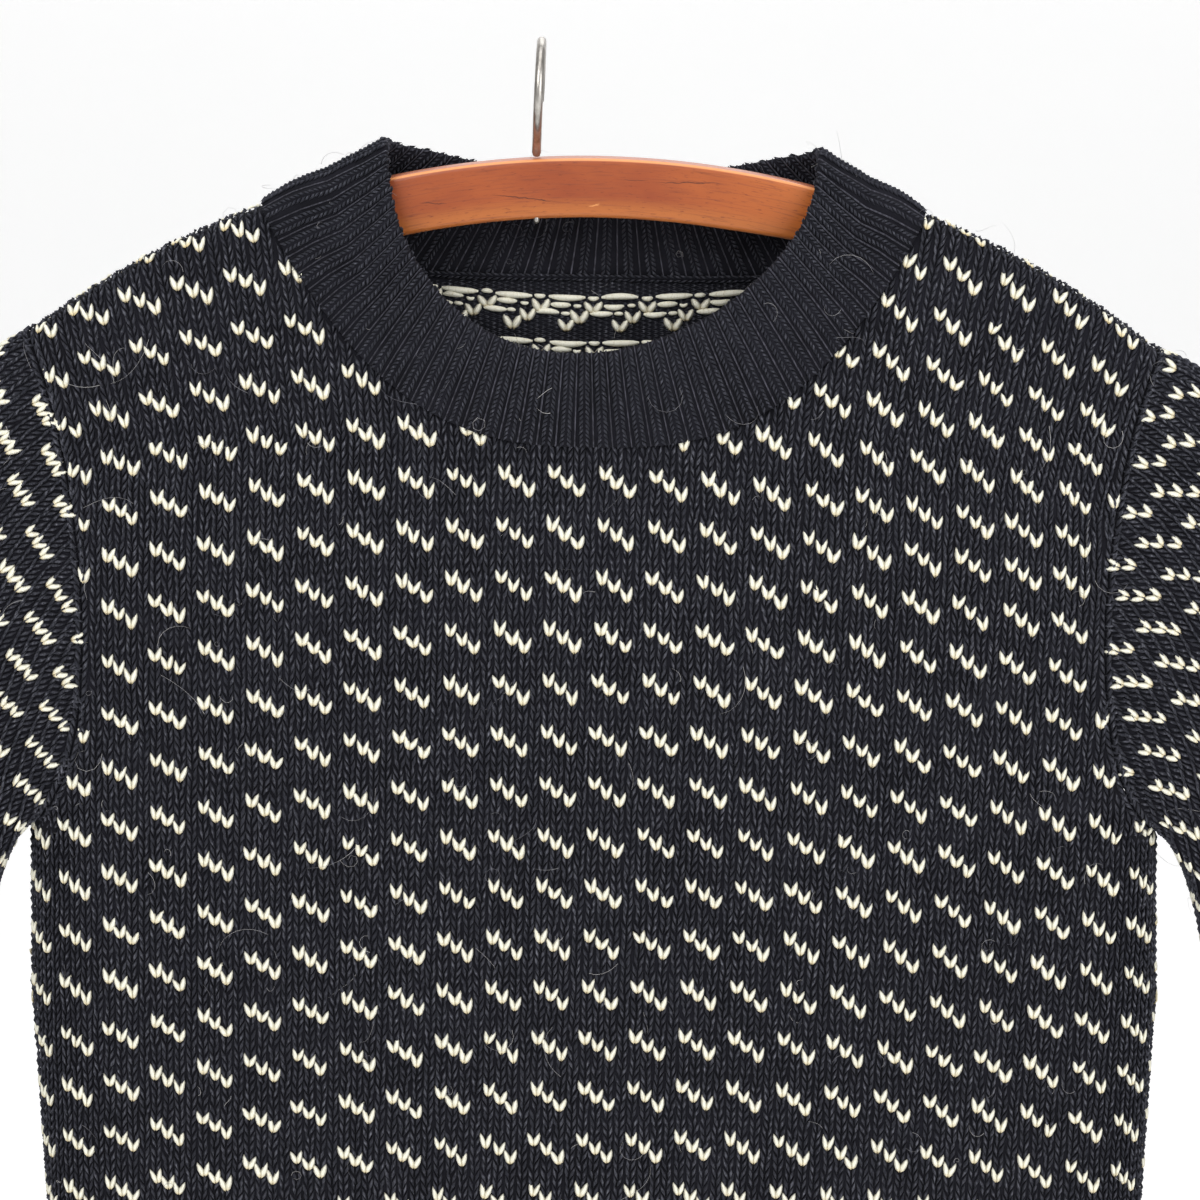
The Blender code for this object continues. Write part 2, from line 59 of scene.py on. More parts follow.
# Cloth walls, as in the model
WALL = 0.0028
RIB_VALLEY = 0.0026
RIB_HEIGHT = 0.0012
COLLAR_EXTRA = 0.0006
SEAM_GAP = 0.0003

# Hanger bar
BAR_TOP_X = 0.0158
BAR_TOP_Z = -0.0447
BAR_RADIUS = 0.380
BAR_HEIGHT = 0.0243
BAR_END_HEIGHT = 0.018
BAR_HALF_THICK = 0.0065
BAR_HALF_ANGLE = math.radians(31.0)
BAR_TILT = math.radians(-2.76)
BAR_TAPER_START = 0.35
BAR_CORNER = 0.0024
BAR_CORNER_STEPS = 5
BAR_STEPS = 48
BarEnd = namedtuple("BarEnd", "place size")
BAR_ENDS = (
    BarEnd(0.0, 1.0), BarEnd(0.972, 1.0), BarEnd(0.984, 0.94), BarEnd(0.992, 0.84),
    BarEnd(0.998, 0.66), BarEnd(1.0, 0.45),
)

# How far the grain shifts up from the bar's back to its front, as a share of the depth
GRAIN_DEPTH_SHIFT = 0.1
# Marks in the bar's wood, along it from its top and up from its lower edge
Streak = namedtuple("Streak", "along up half_length slope half_width colour")
WOOD_STREAKS = (
    Streak(-0.0234, 0.0079, 0.0150, -0.164, 0.00034, "3c150c"),
    Streak(0.0445, 0.0160, 0.0140, 0.108, 0.00030, "3c150c"),
    Streak(-0.0625, 0.0101, 0.0060, -0.180, 0.00032, "48190f"),
    Streak(0.0222, 0.0152, 0.0060, 0.030, 0.00022, "5a2414"),
    Streak(0.0056, 0.0042, 0.0026, 0.150, 0.00045, "e09a5c"),
)

# Hook
WIRE_RADIUS = 0.0019
CROOK_INSIDE = 0.017
HOOK_LEAN = 0.052
HOOK_BASE_Z = -0.0443
HookPoint = namedtuple("HookPoint", "y z")
HOOK_SHANK = (
    HookPoint(0.0, HOOK_BASE_Z), HookPoint(0.0, -0.0425), HookPoint(-0.0030, -0.0385),
    HookPoint(-0.0085, -0.0345), HookPoint(-0.0135, -0.0302),
)
CROOK_START, CROOK_END, CROOK_STEP = 200, -30, 15
HOOK_ROUTE_POINTS = 64
HOOK_SOFTENING = 3
HOOK_SIDES = 16
WIRE_END_SIZE, WIRE_END_ROUND = 0.72, 0.0006
RivetRing = namedtuple("RivetRing", "height radius")
RIVET = (
    RivetRing(0.0010, 0.0010), RivetRing(-0.0006, 0.0013), RivetRing(-0.0016, 0.0013),
    RivetRing(-0.0024, 0.0009), RivetRing(-0.0028, 0.0002),
)
RIVET_Y = -0.0045
RIVET_SIDES = 12

# Body, measured from the middle of the neck
NECK_X = 0.02105
NECK_HALF_WIDTH = 0.1354
SHOULDER_HALF_WIDTH = 0.232
HEM_SEAM_Z = -0.660
HEM_RIB_LENGTH = 0.065
UNDERARM_SHARE = 0.386
SideRow = namedtuple("SideRow", "share half_width")
SIDE_SEAM = (
    SideRow(UNDERARM_SHARE, 0.240), SideRow(0.52, 0.2425), SideRow(0.70, 0.240),
    SideRow(0.89, 0.2325), SideRow(1.0, 0.226),
)
ARMHOLE_HANDLES = ((0.205, 0.35), (0.203, 0.90))
ARMHOLE_FLARE = 1.2
RIDGE_RADIUS = BAR_RADIUS + 0.0012 + WALL
RIDGE_ROUND = 0.006
SIDE_ROUND = 0.036
BAR_COVER = 0.011
SWELL_START, SLACK_START, SLACK_OVER, SIDE_THINNING = 0.012, 0.15, 0.35, 0.45
WAVE_LENGTH, WAVE_SLANT, WAVE_START, WAVE_OVER = 0.155, 2.0, 0.12, 0.25
NECK_SPAN = 0.58

# Soft troughs, or ridges where the depth is negative. Length and width are half extents,
# and the turn is from +X. Bend curves one along its length.
Crease = namedtuple("Crease", "x z turn length width depth bend")
FRONT_CREASES = (
    Crease(-0.170, -0.245, -0.62, 0.060, 0.0075, 0.0016, 1.2),
    Crease(-0.176, -0.292, -0.34, 0.085, 0.0100, 0.0019, -0.8),
    Crease(0.172, -0.262, 0.55, 0.070, 0.0085, 0.0017, -1.0),
    Crease(0.182, -0.318, 0.22, 0.055, 0.0070, 0.0013, 0.7),
    Crease(-0.120, -0.470, 1.38, 0.090, 0.0120, 0.0018, 0.5),
    Crease(-0.052, -0.560, 1.52, 0.075, 0.0105, -0.0016, -0.6),
    Crease(0.048, -0.520, 1.62, 0.110, 0.0130, 0.0020, 0.4),
    Crease(0.128, -0.500, 1.74, 0.085, 0.0095, 0.0016, -0.7),
    Crease(0.176, -0.575, 1.60, 0.060, 0.0085, -0.0014, 0.5),
    Crease(-0.188, -0.560, 1.45, 0.065, 0.0080, 0.0014, 0.0),
)
BACK_CREASES = (
    Crease(-0.165, -0.262, -0.50, 0.075, 0.0090, 0.0018, 0.9),
    Crease(0.158, -0.248, 0.60, 0.060, 0.0080, 0.0015, -1.1),
    Crease(0.174, -0.310, 0.28, 0.080, 0.0100, 0.0018, 0.6),
    Crease(-0.086, -0.455, 1.46, 0.120, 0.0125, 0.0021, -0.4),
    Crease(0.018, -0.540, 1.58, 0.085, 0.0110, -0.0017, 0.5),
    Crease(0.104, -0.480, 1.66, 0.095, 0.0115, 0.0019, 0.3),
    Crease(-0.170, -0.545, 1.52, 0.070, 0.0085, 0.0015, 0.0),
)
# On a sleeve, across is measured from its middle and along from the cuff
SLEEVE_CREASES = (
    Crease(0.030, 0.395, 0.62, 0.060, 0.0085, 0.0017, 0.8),
    Crease(0.044, 0.345, 0.42, 0.050, 0.0075, 0.0015, -1.0),
    Crease(-0.020, 0.205, -0.35, 0.055, 0.0080, 0.0016, 1.4),
    Crease(0.012, 0.120, 0.30, 0.045, 0.0070, 0.0014, -1.2),
    Crease(-0.034, 0.300, 1.35, 0.090, 0.0090, 0.0013, 0.4),
)

Face = namedtuple(
    "Face",
    "sign neck_drop neck_power neck_corner ribs swell swell_over slack wave wave_phase creases",
)
FRONT = Face(
    -1, 0.0944, 2.7, 0.95, 24, 0.018, 0.105, 0.006, 0.0016, 0.4, FRONT_CREASES
)
BACK = Face(1, 0.031, 3.5, 0.5, 16, 0.012, 0.050, 0.004, 0.0030, 2.1, BACK_CREASES)

# Grid of a body panel: half columns over the neck and the shoulder, and rows
NECK_COLUMNS = 28
SHOULDER_COLUMNS = 11
RIDGE_ROWS = (0.0, 0.0010, 0.0022, 0.0038, 0.0058, 0.0085, 0.0120, 0.0160)
ARMHOLE_ROWS = 24
UNDERARM_ROW = len(RIDGE_ROWS) - 1 + ARMHOLE_ROWS
SIDE_ROWS = 32
# Points along a seam or an edge before it is shared out evenly
CURVE_SAMPLES = 401
SEAM_SAMPLES = 801
COURSE_SAMPLES = 301
TURN_SAMPLES = 60
ARMHOLE_SAMPLES = 61
SLOPE_STEP = 0.0004
LOOP_SPAN = 3
# How far the first rows of a tube keep the facing of the seam that they leave
SEAM_KEEP = (1.0, 0.5, 0.2)

# Collar
COLLAR_MIDDLE_X = 0.02465
COLLAR_HALF_WIDTH = 0.0866
COLLAR_PEAK_Z = -0.0405
COLLAR_PEAK_TILT = -0.002
COLLAR_FRONT_DROP = 0.0795
COLLAR_FRONT_SKEW = 0.15
COLLAR_FRONT_Y = -0.0285
COLLAR_BACK_DROP = 0.0140
COLLAR_BACK_POWER = 1.7
COLLAR_BACK_Y = 0.0235
COLLAR_ROLL = 0.0025
# How far the band sinks over the shoulders, from its seam to its edge
SlumpRow = namedtuple("SlumpRow", "share sink")
COLLAR_SLUMP = (
    SlumpRow(0.0, 0.0), SlumpRow(0.25, 0.0012), SlumpRow(0.55, 0.0046),
    SlumpRow(0.85, 0.0036), SlumpRow(1.0, 0.0020),
)
COLLAR_SLUMP_START = 0.80
# The linked seam inside the neck
LINK_RADIUS = 0.0010
LINK_PITCH = 0.0027
LINK_WIDTH, LINK_LENGTH = 0.0036, 0.0042
LINK_SINK = 0.0004
LINK_SIDES = 6
LINK_ROUTE_STEP = 4

# Ribbed bands: columns to a rib, and rings round a band's edge
RIB_SAMPLES = 8
RIB_HALF_WIDTH = 0.44
EDGE_TURNS = 6
EDGE_ROUND = 0.9
# The first and last V of a rib, in rows from the ends of its crest
RIB_FIRST_ROW, RIB_LAST_ROW = 0.6, 0.2
RIB_STITCH_LENGTH = 0.78
RIB_STITCH_SINK = 0.0004
VALLEY_YARN_RADIUS = 0.00042
VALLEY_YARN_RISE = 0.00015
VALLEY_YARN_SIDES = 3
Band = namedtuple("Band", "thick inside_rib stitch_width both_sides")
COLLAR_BAND = Band(RIB_VALLEY + COLLAR_EXTRA, 0.0005, 0.0051, True)
HEM_BAND = Band(RIB_VALLEY, 0.0003, 0.0050, False)
CUFF_BAND = Band(RIB_VALLEY, 0.0003, 0.0047, False)
COLLAR_ROWS = 12
BAND_ROWS = 5

# Sleeves
SLEEVE_OUTER = ((0.290, -0.142), (0.372, -0.225), (0.396, -0.430), (0.377, -0.640))
SLEEVE_INNER = ((0.262, -0.348), (0.274, -0.430), (0.278, -0.540), (0.278, -0.640))
SLEEVE_RINGS = 11
SLEEVE_TURN = 5
SLEEVE_STEPS = 72
SLEEVE_HALF_DEPTH = (0.021, 0.0235, 0.021, 0.018, 0.016)
SLEEVE_SECTION_POWER = 0.85
SLEEVE_RING_POWER = 1.1
# Creases fade out towards the folds and the cap, and lie higher on the back of a sleeve
FOLD_FADE, CAP_FADE = 3, 5
BACK_CREASE_SHIFT = 0.045
CUFF_LENGTH = 0.070
CUFF_TAPER = 0.90
CUFF_RIB_PITCH = 0.0066
HEM_RIB_PITCH = 0.0072
HEM_TAPER = 0.955

# The birdseye knit: six rows by four stitches, with a white stitch stepping right on three rows
REPEAT_ROWS = 6
REPEAT_STITCHES = 4
WHITE_ROWS = 3
# The middle row of the first whole group below the collar, and the middle wale through it
FIRST_GROUP_Z = -0.1739
MIDDLE_WALE_X = 0.0095
WALE_LEAN = 0.0326
ROW_STRETCH = 1.07e-5
CourseRow = namedtuple("CourseRow", "height tilt bow")
# How much the courses fall to the right, as the sweater hangs a little askew, and how much
# they bow down at both sides
COURSES = (
    CourseRow(-0.460, -0.0160, 0.42), CourseRow(-0.442, -0.0157, 0.42),
    CourseRow(-0.397, -0.0123, 0.42), CourseRow(-0.350, -0.0070, 0.42),
    CourseRow(-0.306, -0.0013, 0.42), CourseRow(-0.261, 0.0030, 0.42),
    CourseRow(-0.217, 0.0140, 0.42), CourseRow(-0.195, 0.0207, 0.46),
    CourseRow(-0.174, 0.0310, 0.52), CourseRow(-0.140, 0.0380, 0.64),
    CourseRow(-0.098, 0.0600, 0.75),
)
# The wales stand closer on the left and wider on the right, and fan out beside the collar
LEFT_SPREAD, RIGHT_SPREAD = 0.982, 1.012
FAN_START_Z = -0.156
FAN = 1.1
BACK_COURSE_BOW = 0.30
SEAM_MARGIN = 0.0013
CHAIN_WIDTH = 0.0066
UNDER_COLLAR = 0.0012
BASE_DROP = 0.0009
GROUND_DROP = 0.0014
# The courses reach this far above and below the first group, and the wales to both sides
COURSES_ABOVE, COURSES_BELOW = 0.14, 0.52
MOST_WALES = 60
BACK_GROUP_RISE = 0.0052
BACK_ROW_STRETCH = 1.02
FIRST_SLEEVE_ROW = 0.45
# How much stitches are moved, and turned in each kind of knit
STITCH_STRAY = 0.00020
BODY_TURN, RIB_TURN, LINK_TURN, CHAIN_TURN = 0.085, 0.05, 0.08, 0.06
PIECE_SEEDS = {"front": 11, "back": 12, "sleeve_left": 21, "sleeve_right": 22}

Float = namedtuple("Float", "drop start length radius")
# Yarn lying loose inside the back, one repeat of the pattern, in metres from its left edge
FLOAT_REPEAT = 0.0223
FLOAT_REPEAT_DROP = 0.0190
FLOATS_START_X = 0.0024
FLOATS_TOP_Z = -0.1055
FLOATS_MIDDLE_X = 0.0075
FLOATS_SAG = 1.05
INSIDE_FLOATS = (
    Float(0.0, 0.0000, 0.0152, 0.00140), Float(0.0, 0.0163, 0.0044, 0.00105),
    Float(0.0031, 0.0006, 0.0082, 0.00130), Float(0.0033, 0.0102, 0.0032, 0.00085),
    Float(0.0068, 0.0172, 0.0094, 0.00130), Float(0.0068, 0.0050, 0.0036, 0.00090),
)
InsideV = namedtuple("InsideV", "drop across")
INSIDE_STITCHES = (InsideV(0.0040, 0.0188), InsideV(0.0081, 0.0128), InsideV(0.0117, 0.0070))
INSIDE_V_WIDTH, INSIDE_V_LENGTH = 0.0072, 0.0060
REPEATS_ACROSS = range(-5, 6)
REPEATS_DOWN = range(3)
FLOAT_POINTS = 8
FLOAT_SIDES = 5
FLOAT_STRAY, FLOAT_SLACK = 0.0002, 0.0004
# At its ends a float lies closer to the cloth and thinner, as shares of its radius
FLOAT_END_LIFT, FLOAT_END_SIZE = 0.2, 0.35
FLOAT_MARGIN, PURL_MARGIN = 0.0010, 0.0015
# Purl loops stand at half wales and half courses
PURL_WALES = (-26, 32)
PURL_ROWS = 24
PURL_TOP_Z = -0.099
PURL_STAGGER = 0.0009
PURL_WIDTH, PURL_LENGTH = 0.0026, 0.0034


class KnitSettings(bpy.types.PropertyGroup):
    stitch_width: bpy.props.FloatProperty(
        name="Stitch width", description="Width of one wale of the body knit",
        default=0.00523, precision=5, unit="LENGTH",
    )
    row_height: bpy.props.FloatProperty(
        name="Row height", description="Height of one course of the body knit",
        default=0.00360, precision=5, unit="LENGTH",
    )
    stitch_length: bpy.props.FloatProperty(
        name="Stitch length", description="Height of one V, which laps over the course below",
        default=0.0068, precision=5, unit="LENGTH",
    )
    edge_row_height: bpy.props.FloatProperty(
        name="Hem and cuff row height", description="Height of one course of the hem and cuffs",
        default=0.0025, precision=5, unit="LENGTH",
    )
    rib_row_height: bpy.props.FloatProperty(
        name="Rib row height", description="Height of one course of the ribbing",
        default=0.0020, precision=5, unit="LENGTH",
    )
    unevenness: bpy.props.FloatProperty(
        name="Unevenness", description="How much the size of the stitches varies",
        default=0.12, subtype="FACTOR",
    )
    seed: bpy.props.IntProperty(
        name="Seed", description="Start of the random draws", default=7,
    )
    navy: bpy.props.StringProperty(
        name="Navy", description="Colour of the ground yarn, as sRGB hex", default="2d2e35",
    )
    # Painted shade: the ground yarn between the stitches is coloured as dark as the shade that
    # falls deep there; the soft shade is the same painted shade a little lighter.
    navy_shade: bpy.props.StringProperty(
        name="Dark navy", description="Ground yarn deep between the stitches", default="15151a",
    )
    navy_soft_shade: bpy.props.StringProperty(
        name="Deep navy", description="The same where more light reaches it", default="1f1f26",
    )
    # Painted shade on the ground in the valleys of the ribs, darkest and a little lighter.
    rib_shade: bpy.props.StringProperty(
        name="Dark rib", description="Ground yarn in the valleys of the ribs", default="131318",
    )
    rib_soft_shade: bpy.props.StringProperty(
        name="Deep rib", description="The same where more light reaches it", default="1e1e25",
    )
    # Painted highlight on the crests of the ribs, flecked with greyer fibres.
    rib_highlight: bpy.props.StringProperty(
        name="Light rib", description="Greyer fibres on the crests of the ribs", default="64656f",
    )
    # Painted highlight on the crests of the stitches, flecked with greyer fibres.
    navy_highlight: bpy.props.StringProperty(
        name="Light navy", description="Greyer fibres on the crests", default="7c7d87",
    )
    cream: bpy.props.StringProperty(
        name="Cream", description="Colour of the pattern yarn, as sRGB hex", default="f5f3e2",
    )
    # Painted shade on the cream yarn at the foot of each V, where it turns in, and along the low
    # edges of its legs.
    cream_shade: bpy.props.StringProperty(
        name="Shaded cream", description="Pattern yarn where a stitch turns in", default="d8c084",
    )


class FibreSettings(bpy.types.PropertyGroup):
    count: bpy.props.IntProperty(
        name="Fibres", description="Loose fibres on the whole sweater", default=1050,
    )
    thickness: bpy.props.FloatProperty(
        name="Thickness", description="Radius of one fibre, as thick as it needs to show",
        default=0.00008, precision=6, unit="LENGTH",
    )
    length: bpy.props.FloatProperty(
        name="Length", description="Length of the longest fibres",
        default=0.026, precision=4, unit="LENGTH",
    )
    colour: bpy.props.StringProperty(
        name="Fibre colour", description="Colour of the loose fibres", default="cbc8c6",
    )


class HangerSettings(bpy.types.PropertyGroup):
    wood: bpy.props.StringProperty(
        name="Wood", description="Colour of the stained beech", default="92401a",
    )
    # Colour that the bar turns to towards its lower edge.
    wood_light: bpy.props.StringProperty(
        name="Light wood", description="Where the stain is thin", default="b4652b",
    )
    grain: bpy.props.StringProperty(
        name="Grain", description="Colour of the dark grain lines", default="48190f",
    )
    steel: bpy.props.StringProperty(
        name="Steel", description="Colour of the wire", default="c9c5bf",
    )


class StageSettings(bpy.types.PropertyGroup):
    camera_distance: bpy.props.FloatProperty(
        name="Camera distance", description="From the camera to the middle of the picture",
        default=1.4, unit="LENGTH",
    )
    camera_elevation: bpy.props.FloatProperty(
        name="Camera elevation", description="Height of the camera above the horizon",
        default=math.radians(13.5), subtype="ANGLE",
    )
    backdrop: bpy.props.StringProperty(
        name="Backdrop", description="Colour of the paper sweep", default="f8f8f8",
    )


# Small helpers


def smooth(share):
    """0 to 1 with level ends."""
    share = np.clip(share, 0.0, 1.0)
    return share * share * (3.0 - 2.0 * share)


def rounded(distance, radius):
    left = 1.0 - np.clip(distance / radius, 0.0, 1.0)
    return np.sqrt(1.0 - left * left)


def bezier(points, share):
    points = [np.array(point, float) for point in points]
    while len(points) > 1:
        points = [a + (b - a) * share for a, b in zip(points, points[1:])]
    return points[0]


def unit(vectors):
    return vectors / np.maximum(np.linalg.norm(vectors, axis=-1, keepdims=True), 1e-12)


def lengths_along(points):
    steps = np.linalg.norm(np.diff(points, axis=0), axis=-1)
    return np.concatenate([np.zeros((1,) + steps.shape[1:]), np.cumsum(steps, axis=0)])


def resampled(values, lengths, wanted):
    """Rows of values at the wanted lengths along the line that they belong to."""
    return np.stack([np.interp(wanted, lengths, column) for column in values.T], axis=1)


def closed(loop):
    return np.concatenate([loop, loop[:1]])


def length_around(loop):
    return lengths_along(closed(loop))[-1]


def looked_up(place, table, key, value):
    """A value between the rows of a table, at a place in the table's key column."""
    keys = [getattr(row, key) for row in table]
    return np.interp(place, keys, [getattr(row, value) for row in table])


def linear(hex_colour):
    """An sRGB hex colour as linear red, green, blue and alpha."""
    channels = [int(hex_colour[i:i + 2], 16) / 255 for i in (0, 2, 4)]
    turned = [c / 12.92 if c <= 0.04045 else ((c + 0.055) / 1.055) ** 2.4 for c in channels]
    return (*turned, 1.0)


# The form of the body


def ridge_height(x):
    across = x + NECK_X - BAR_TOP_X
    return BAR_TOP_Z - BAR_RADIUS + np.sqrt(RIDGE_RADIUS**2 - across**2)


def below_ridge(x, z):
    return RIDGE_RADIUS - np.hypot(x + NECK_X - BAR_TOP_X, z - BAR_TOP_Z + BAR_RADIUS)


def ridge_normal(x, z):
    """The way out from the middle of the bar's curve."""
    return unit(np.stack([x + NECK_X - BAR_TOP_X, 0 * x, z - BAR_TOP_Z + BAR_RADIUS], axis=-1))


def side_height(side, share):
    top = ridge_height(side * SHOULDER_HALF_WIDTH)
    return top + (HEM_SEAM_Z - top) * share


def armhole_half_width(share):
    curve = [(SHOULDER_HALF_WIDTH, 0.0), *ARMHOLE_HANDLES, (SIDE_SEAM[0].half_width, 1.0)]
    samples = np.array([bezier(curve, step) for step in np.linspace(0, 1, ARMHOLE_SAMPLES)])
    return np.interp(share / UNDERARM_SHARE, samples[:, 1], samples[:, 0])


def side_half_width(share):
    below = looked_up(share, SIDE_SEAM, "share", "half_width")
    return np.where(share >= UNDERARM_SHARE, below, armhole_half_width(share))


def outline_half_width(x, z):
    top = ridge_height(np.copysign(SHOULDER_HALF_WIDTH, x))
    share = (top - z) / (top - HEM_SEAM_Z)
    width = looked_up(share, SIDE_SEAM, "share", "half_width")
    above = np.maximum(0.0, UNDERARM_SHARE - share) * (top - HEM_SEAM_Z)
    return width + ARMHOLE_FLARE * above


def crease_depth(creases, x, z):
    total = 0.0 * x
    for crease in creases:
        turn = np.array([math.cos(crease.turn), math.sin(crease.turn)])
        along = (x - crease.x) * turn[0] + (z - crease.z) * turn[1]
        across = (z - crease.z) * turn[0] - (x - crease.x) * turn[1] + crease.bend * along**2
        fade = np.exp(-((along / crease.length) ** 4)) * np.exp(-((across / crease.width) ** 2))
        total = total + crease.depth * fade
    return total


def body_depth(face, x, z):
    """Distance of the cloth's outer face from the plane of the seams, before the shoulder turn."""
    down = below_ridge(x, z)
    swell = face.swell * smooth((down - SWELL_START) / face.swell_over)
    swell = swell - face.slack * smooth((down - SLACK_START) / SLACK_OVER)
    wave = np.cos(2 * math.pi * x / WAVE_LENGTH + face.wave_phase + WAVE_SLANT * z)
    swell = swell + face.wave * wave * smooth((down - WAVE_START) / WAVE_OVER)
    depth = BAR_COVER + swell * (1.0 - SIDE_THINNING * (x / SIDE_SEAM[0].half_width) ** 2)
    depth = depth - crease_depth(face.creases, x, z)
    return depth * rounded(outline_half_width(x, z) - np.abs(x), SIDE_ROUND)


def half_depth(face, x, z):
    return body_depth(face, x, z) * rounded(below_ridge(x, z), RIDGE_ROUND)


def face_slopes(face, x, z):
    step = SLOPE_STEP
    slope_x = (half_depth(face, x + step, z) - half_depth(face, x - step, z)) / (2 * step)
    slope_z = (half_depth(face, x, z + step) - half_depth(face, x, z - step)) / (2 * step)
    return slope_x, slope_z


def face_normal(face, x, z):
    slope_x, slope_z = face_slopes(face, x, z)
    return unit(np.stack([-slope_x, face.sign + 0 * slope_x, -slope_z], axis=-1))


def neck_seam(face, across):
    """x and z on the neck seam, at places from -1 to 1 across it."""
    left, right = ridge_height(-NECK_HALF_WIDTH), ridge_height(NECK_HALF_WIDTH)
    z = left + (right - left) * (across + 1) / 2
    z = z - face.neck_drop * (1 - np.abs(across) ** face.neck_power) ** face.neck_corner
    return NECK_HALF_WIDTH * across, z


def neck_height(face, x):
    """Height of the neck seam over a place across it."""
    return np.interp(x, *neck_seam(face, np.linspace(-1, 1, SEAM_SAMPLES)))


def neck_places(face, count):
    """Places on half the neck seam, 0 in the middle to 1 at the shoulder, evenly spaced."""
    places = 1 - np.linspace(0.0, 1.0, SEAM_SAMPLES) ** 3
    x, z = neck_seam(face, -places)
    lengths = lengths_along(np.stack([x, half_depth(face, x, z), z], axis=1))
    return np.interp(lengths[-1] * np.linspace(0, 1, count + 1), lengths, places)[::-1]


def top_seam(face, across_top):
    along = (np.abs(across_top) - NECK_SPAN) / (1 - NECK_SPAN)
    shoulder = NECK_HALF_WIDTH + (SHOULDER_HALF_WIDTH - NECK_HALF_WIDTH) * along
    shoulder = np.copysign(shoulder, across_top)
    x, z = neck_seam(face, np.clip(across_top / NECK_SPAN, -1, 1))
    on_neck = np.abs(across_top) <= NECK_SPAN
    return np.where(on_neck, x, shoulder), np.where(on_neck, z, ridge_height(shoulder))


def panel_normals(face, x, z, tops):
    """Normals of a panel, which meet those of its neighbours at the seams."""
    normals = face_normal(face, x, z)
    shoulders = np.abs(tops) >= NECK_SPAN - 1e-9
    normals[0, shoulders] = ridge_normal(x, z)[0, shoulders]
    for column, sign in ((0, -1.0), (-1, 1.0)):
        normals[1:UNDERARM_ROW, column, 0] = 0.0
        normals[UNDERARM_ROW, column] = (0.0, 0.0, -1.0)
        normals[UNDERARM_ROW + 1:, column] = (sign, 0.0, 0.0)
    normals[-1, :, 2] = 0.0
    return unit(normals)


def panel_grid(face):
    """Outer points and normals of a panel, as rows by columns."""
    turn = np.sin(np.linspace(0.0, math.pi / 2, SHOULDER_COLUMNS + 1))[1:]
    half_top = np.concatenate(
        [NECK_SPAN * neck_places(face, NECK_COLUMNS), NECK_SPAN + (1 - NECK_SPAN) * turn]
    )
    half_hem = np.sin(np.linspace(0.0, math.pi / 2, len(half_top)))
    tops, hems = [np.concatenate([-half[:0:-1], half]) for half in (half_top, half_hem)]
    even = np.linspace(0.0, 1.0, ARMHOLE_ROWS + 1)[1:]
    eased = (even + np.sin(even * math.pi / 2)) / 2
    arm = RIDGE_ROWS[-1] + (UNDERARM_SHARE - RIDGE_ROWS[-1]) * eased
    side = np.linspace(UNDERARM_SHARE, 1.0, SIDE_ROWS + 1)[1:]
    downs = np.concatenate([RIDGE_ROWS, arm, side])
    down, top_share = np.meshgrid(downs, tops, indexing="ij")
    hem_share = np.broadcast_to(hems, top_share.shape)
    seam_x, seam_z = top_seam(face, top_share)
    hem_width = SIDE_SEAM[-1].half_width
    x = seam_x * (1 - down) + hem_width * hem_share * down
    z = seam_z * (1 - down) + HEM_SEAM_Z * down
    across = top_share * (1 - down) + hem_share * down
    for sign in (-1, 1):
        corner_x = sign * (SHOULDER_HALF_WIDTH * (1 - down) + hem_width * down)
        corner_z = ridge_height(sign * SHOULDER_HALF_WIDTH) * (1 - down) + HEM_SEAM_Z * down
        share = (1 + sign * across) / 2
        x = x + (sign * side_half_width(down) - corner_x) * share
        z = z + (side_height(sign, down) - corner_z) * share
    y = face.sign * np.maximum(half_depth(face, x, z), SEAM_GAP / 2)
    return np.stack([x + NECK_X, y, z], axis=-1), panel_normals(face, x, z, tops)


# Meshes


def plain_object(name, points, faces, edges=()):
    mesh = bpy.data.meshes.new(name)
    mesh.from_pydata(np.asarray(points).reshape(-1, 3).tolist(), list(edges), list(faces))
    mesh.update()
    made = bpy.data.objects.new(name, mesh)
    bpy.context.scene.collection.objects.link(made)
    return made


def point_outwards(made):
    data = bmesh.new()
    data.from_mesh(made.data)
    bmesh.ops.recalc_face_normals(data, faces=data.faces)
    data.to_mesh(made.data)
    data.free()
    made.data.shade_smooth()


def grid_faces(rows, columns, wrap_columns, wrap_rows=False, start=0):
    faces = []
    for row in range(rows if wrap_rows else rows - 1):
        below = (row + 1) % rows
        for column in range(columns if wrap_columns else columns - 1):
            right = (column + 1) % columns
            corners = ((row, column), (row, right), (below, right), (below, column))
            faces.append([start + r * columns + c for r, c in corners])
    return faces


def wall_object(name, outer, inner, wrap):
    """A closed wall between two grids of the same size."""
    rows, columns = outer.shape[:2]
    faces = grid_faces(rows, columns, wrap)
    faces += [face[::-1] for face in grid_faces(rows, columns, wrap, start=rows * columns)]
    rim = [[row * columns + c for c in range(columns)] for row in (0, rows - 1)]
    if not wrap:
        rim += [[r * columns + column for r in range(rows)] for column in (0, columns - 1)]
    for line in rim:
        pairs = zip(line, line[1:] + line[:1]) if wrap else zip(line, line[1:])
        faces += [(a, b, b + rows * columns, a + rows * columns) for a, b in pairs]
    made = plain_object(name, np.concatenate([outer.reshape(-1, 3), inner.reshape(-1, 3)]), faces)
    point_outwards(made)
    return made


def ring_object(name, rings):
    """A closed body from rings that wrap both ways."""
    rows, columns = rings.shape[:2]
    made = plain_object(name, rings, grid_faces(rows, columns, True, True))
    point_outwards(made)
    return made


# Node trees


def set_inputs(tree, made, inputs):
    """Links a node's inputs to sockets, and sets them to plain values."""
    for key, value in dict(inputs).items():
        if isinstance(value, bpy.types.NodeSocket):
            tree.links.new(value, made.inputs[key])
        else:
            made.inputs[key].default_value = value


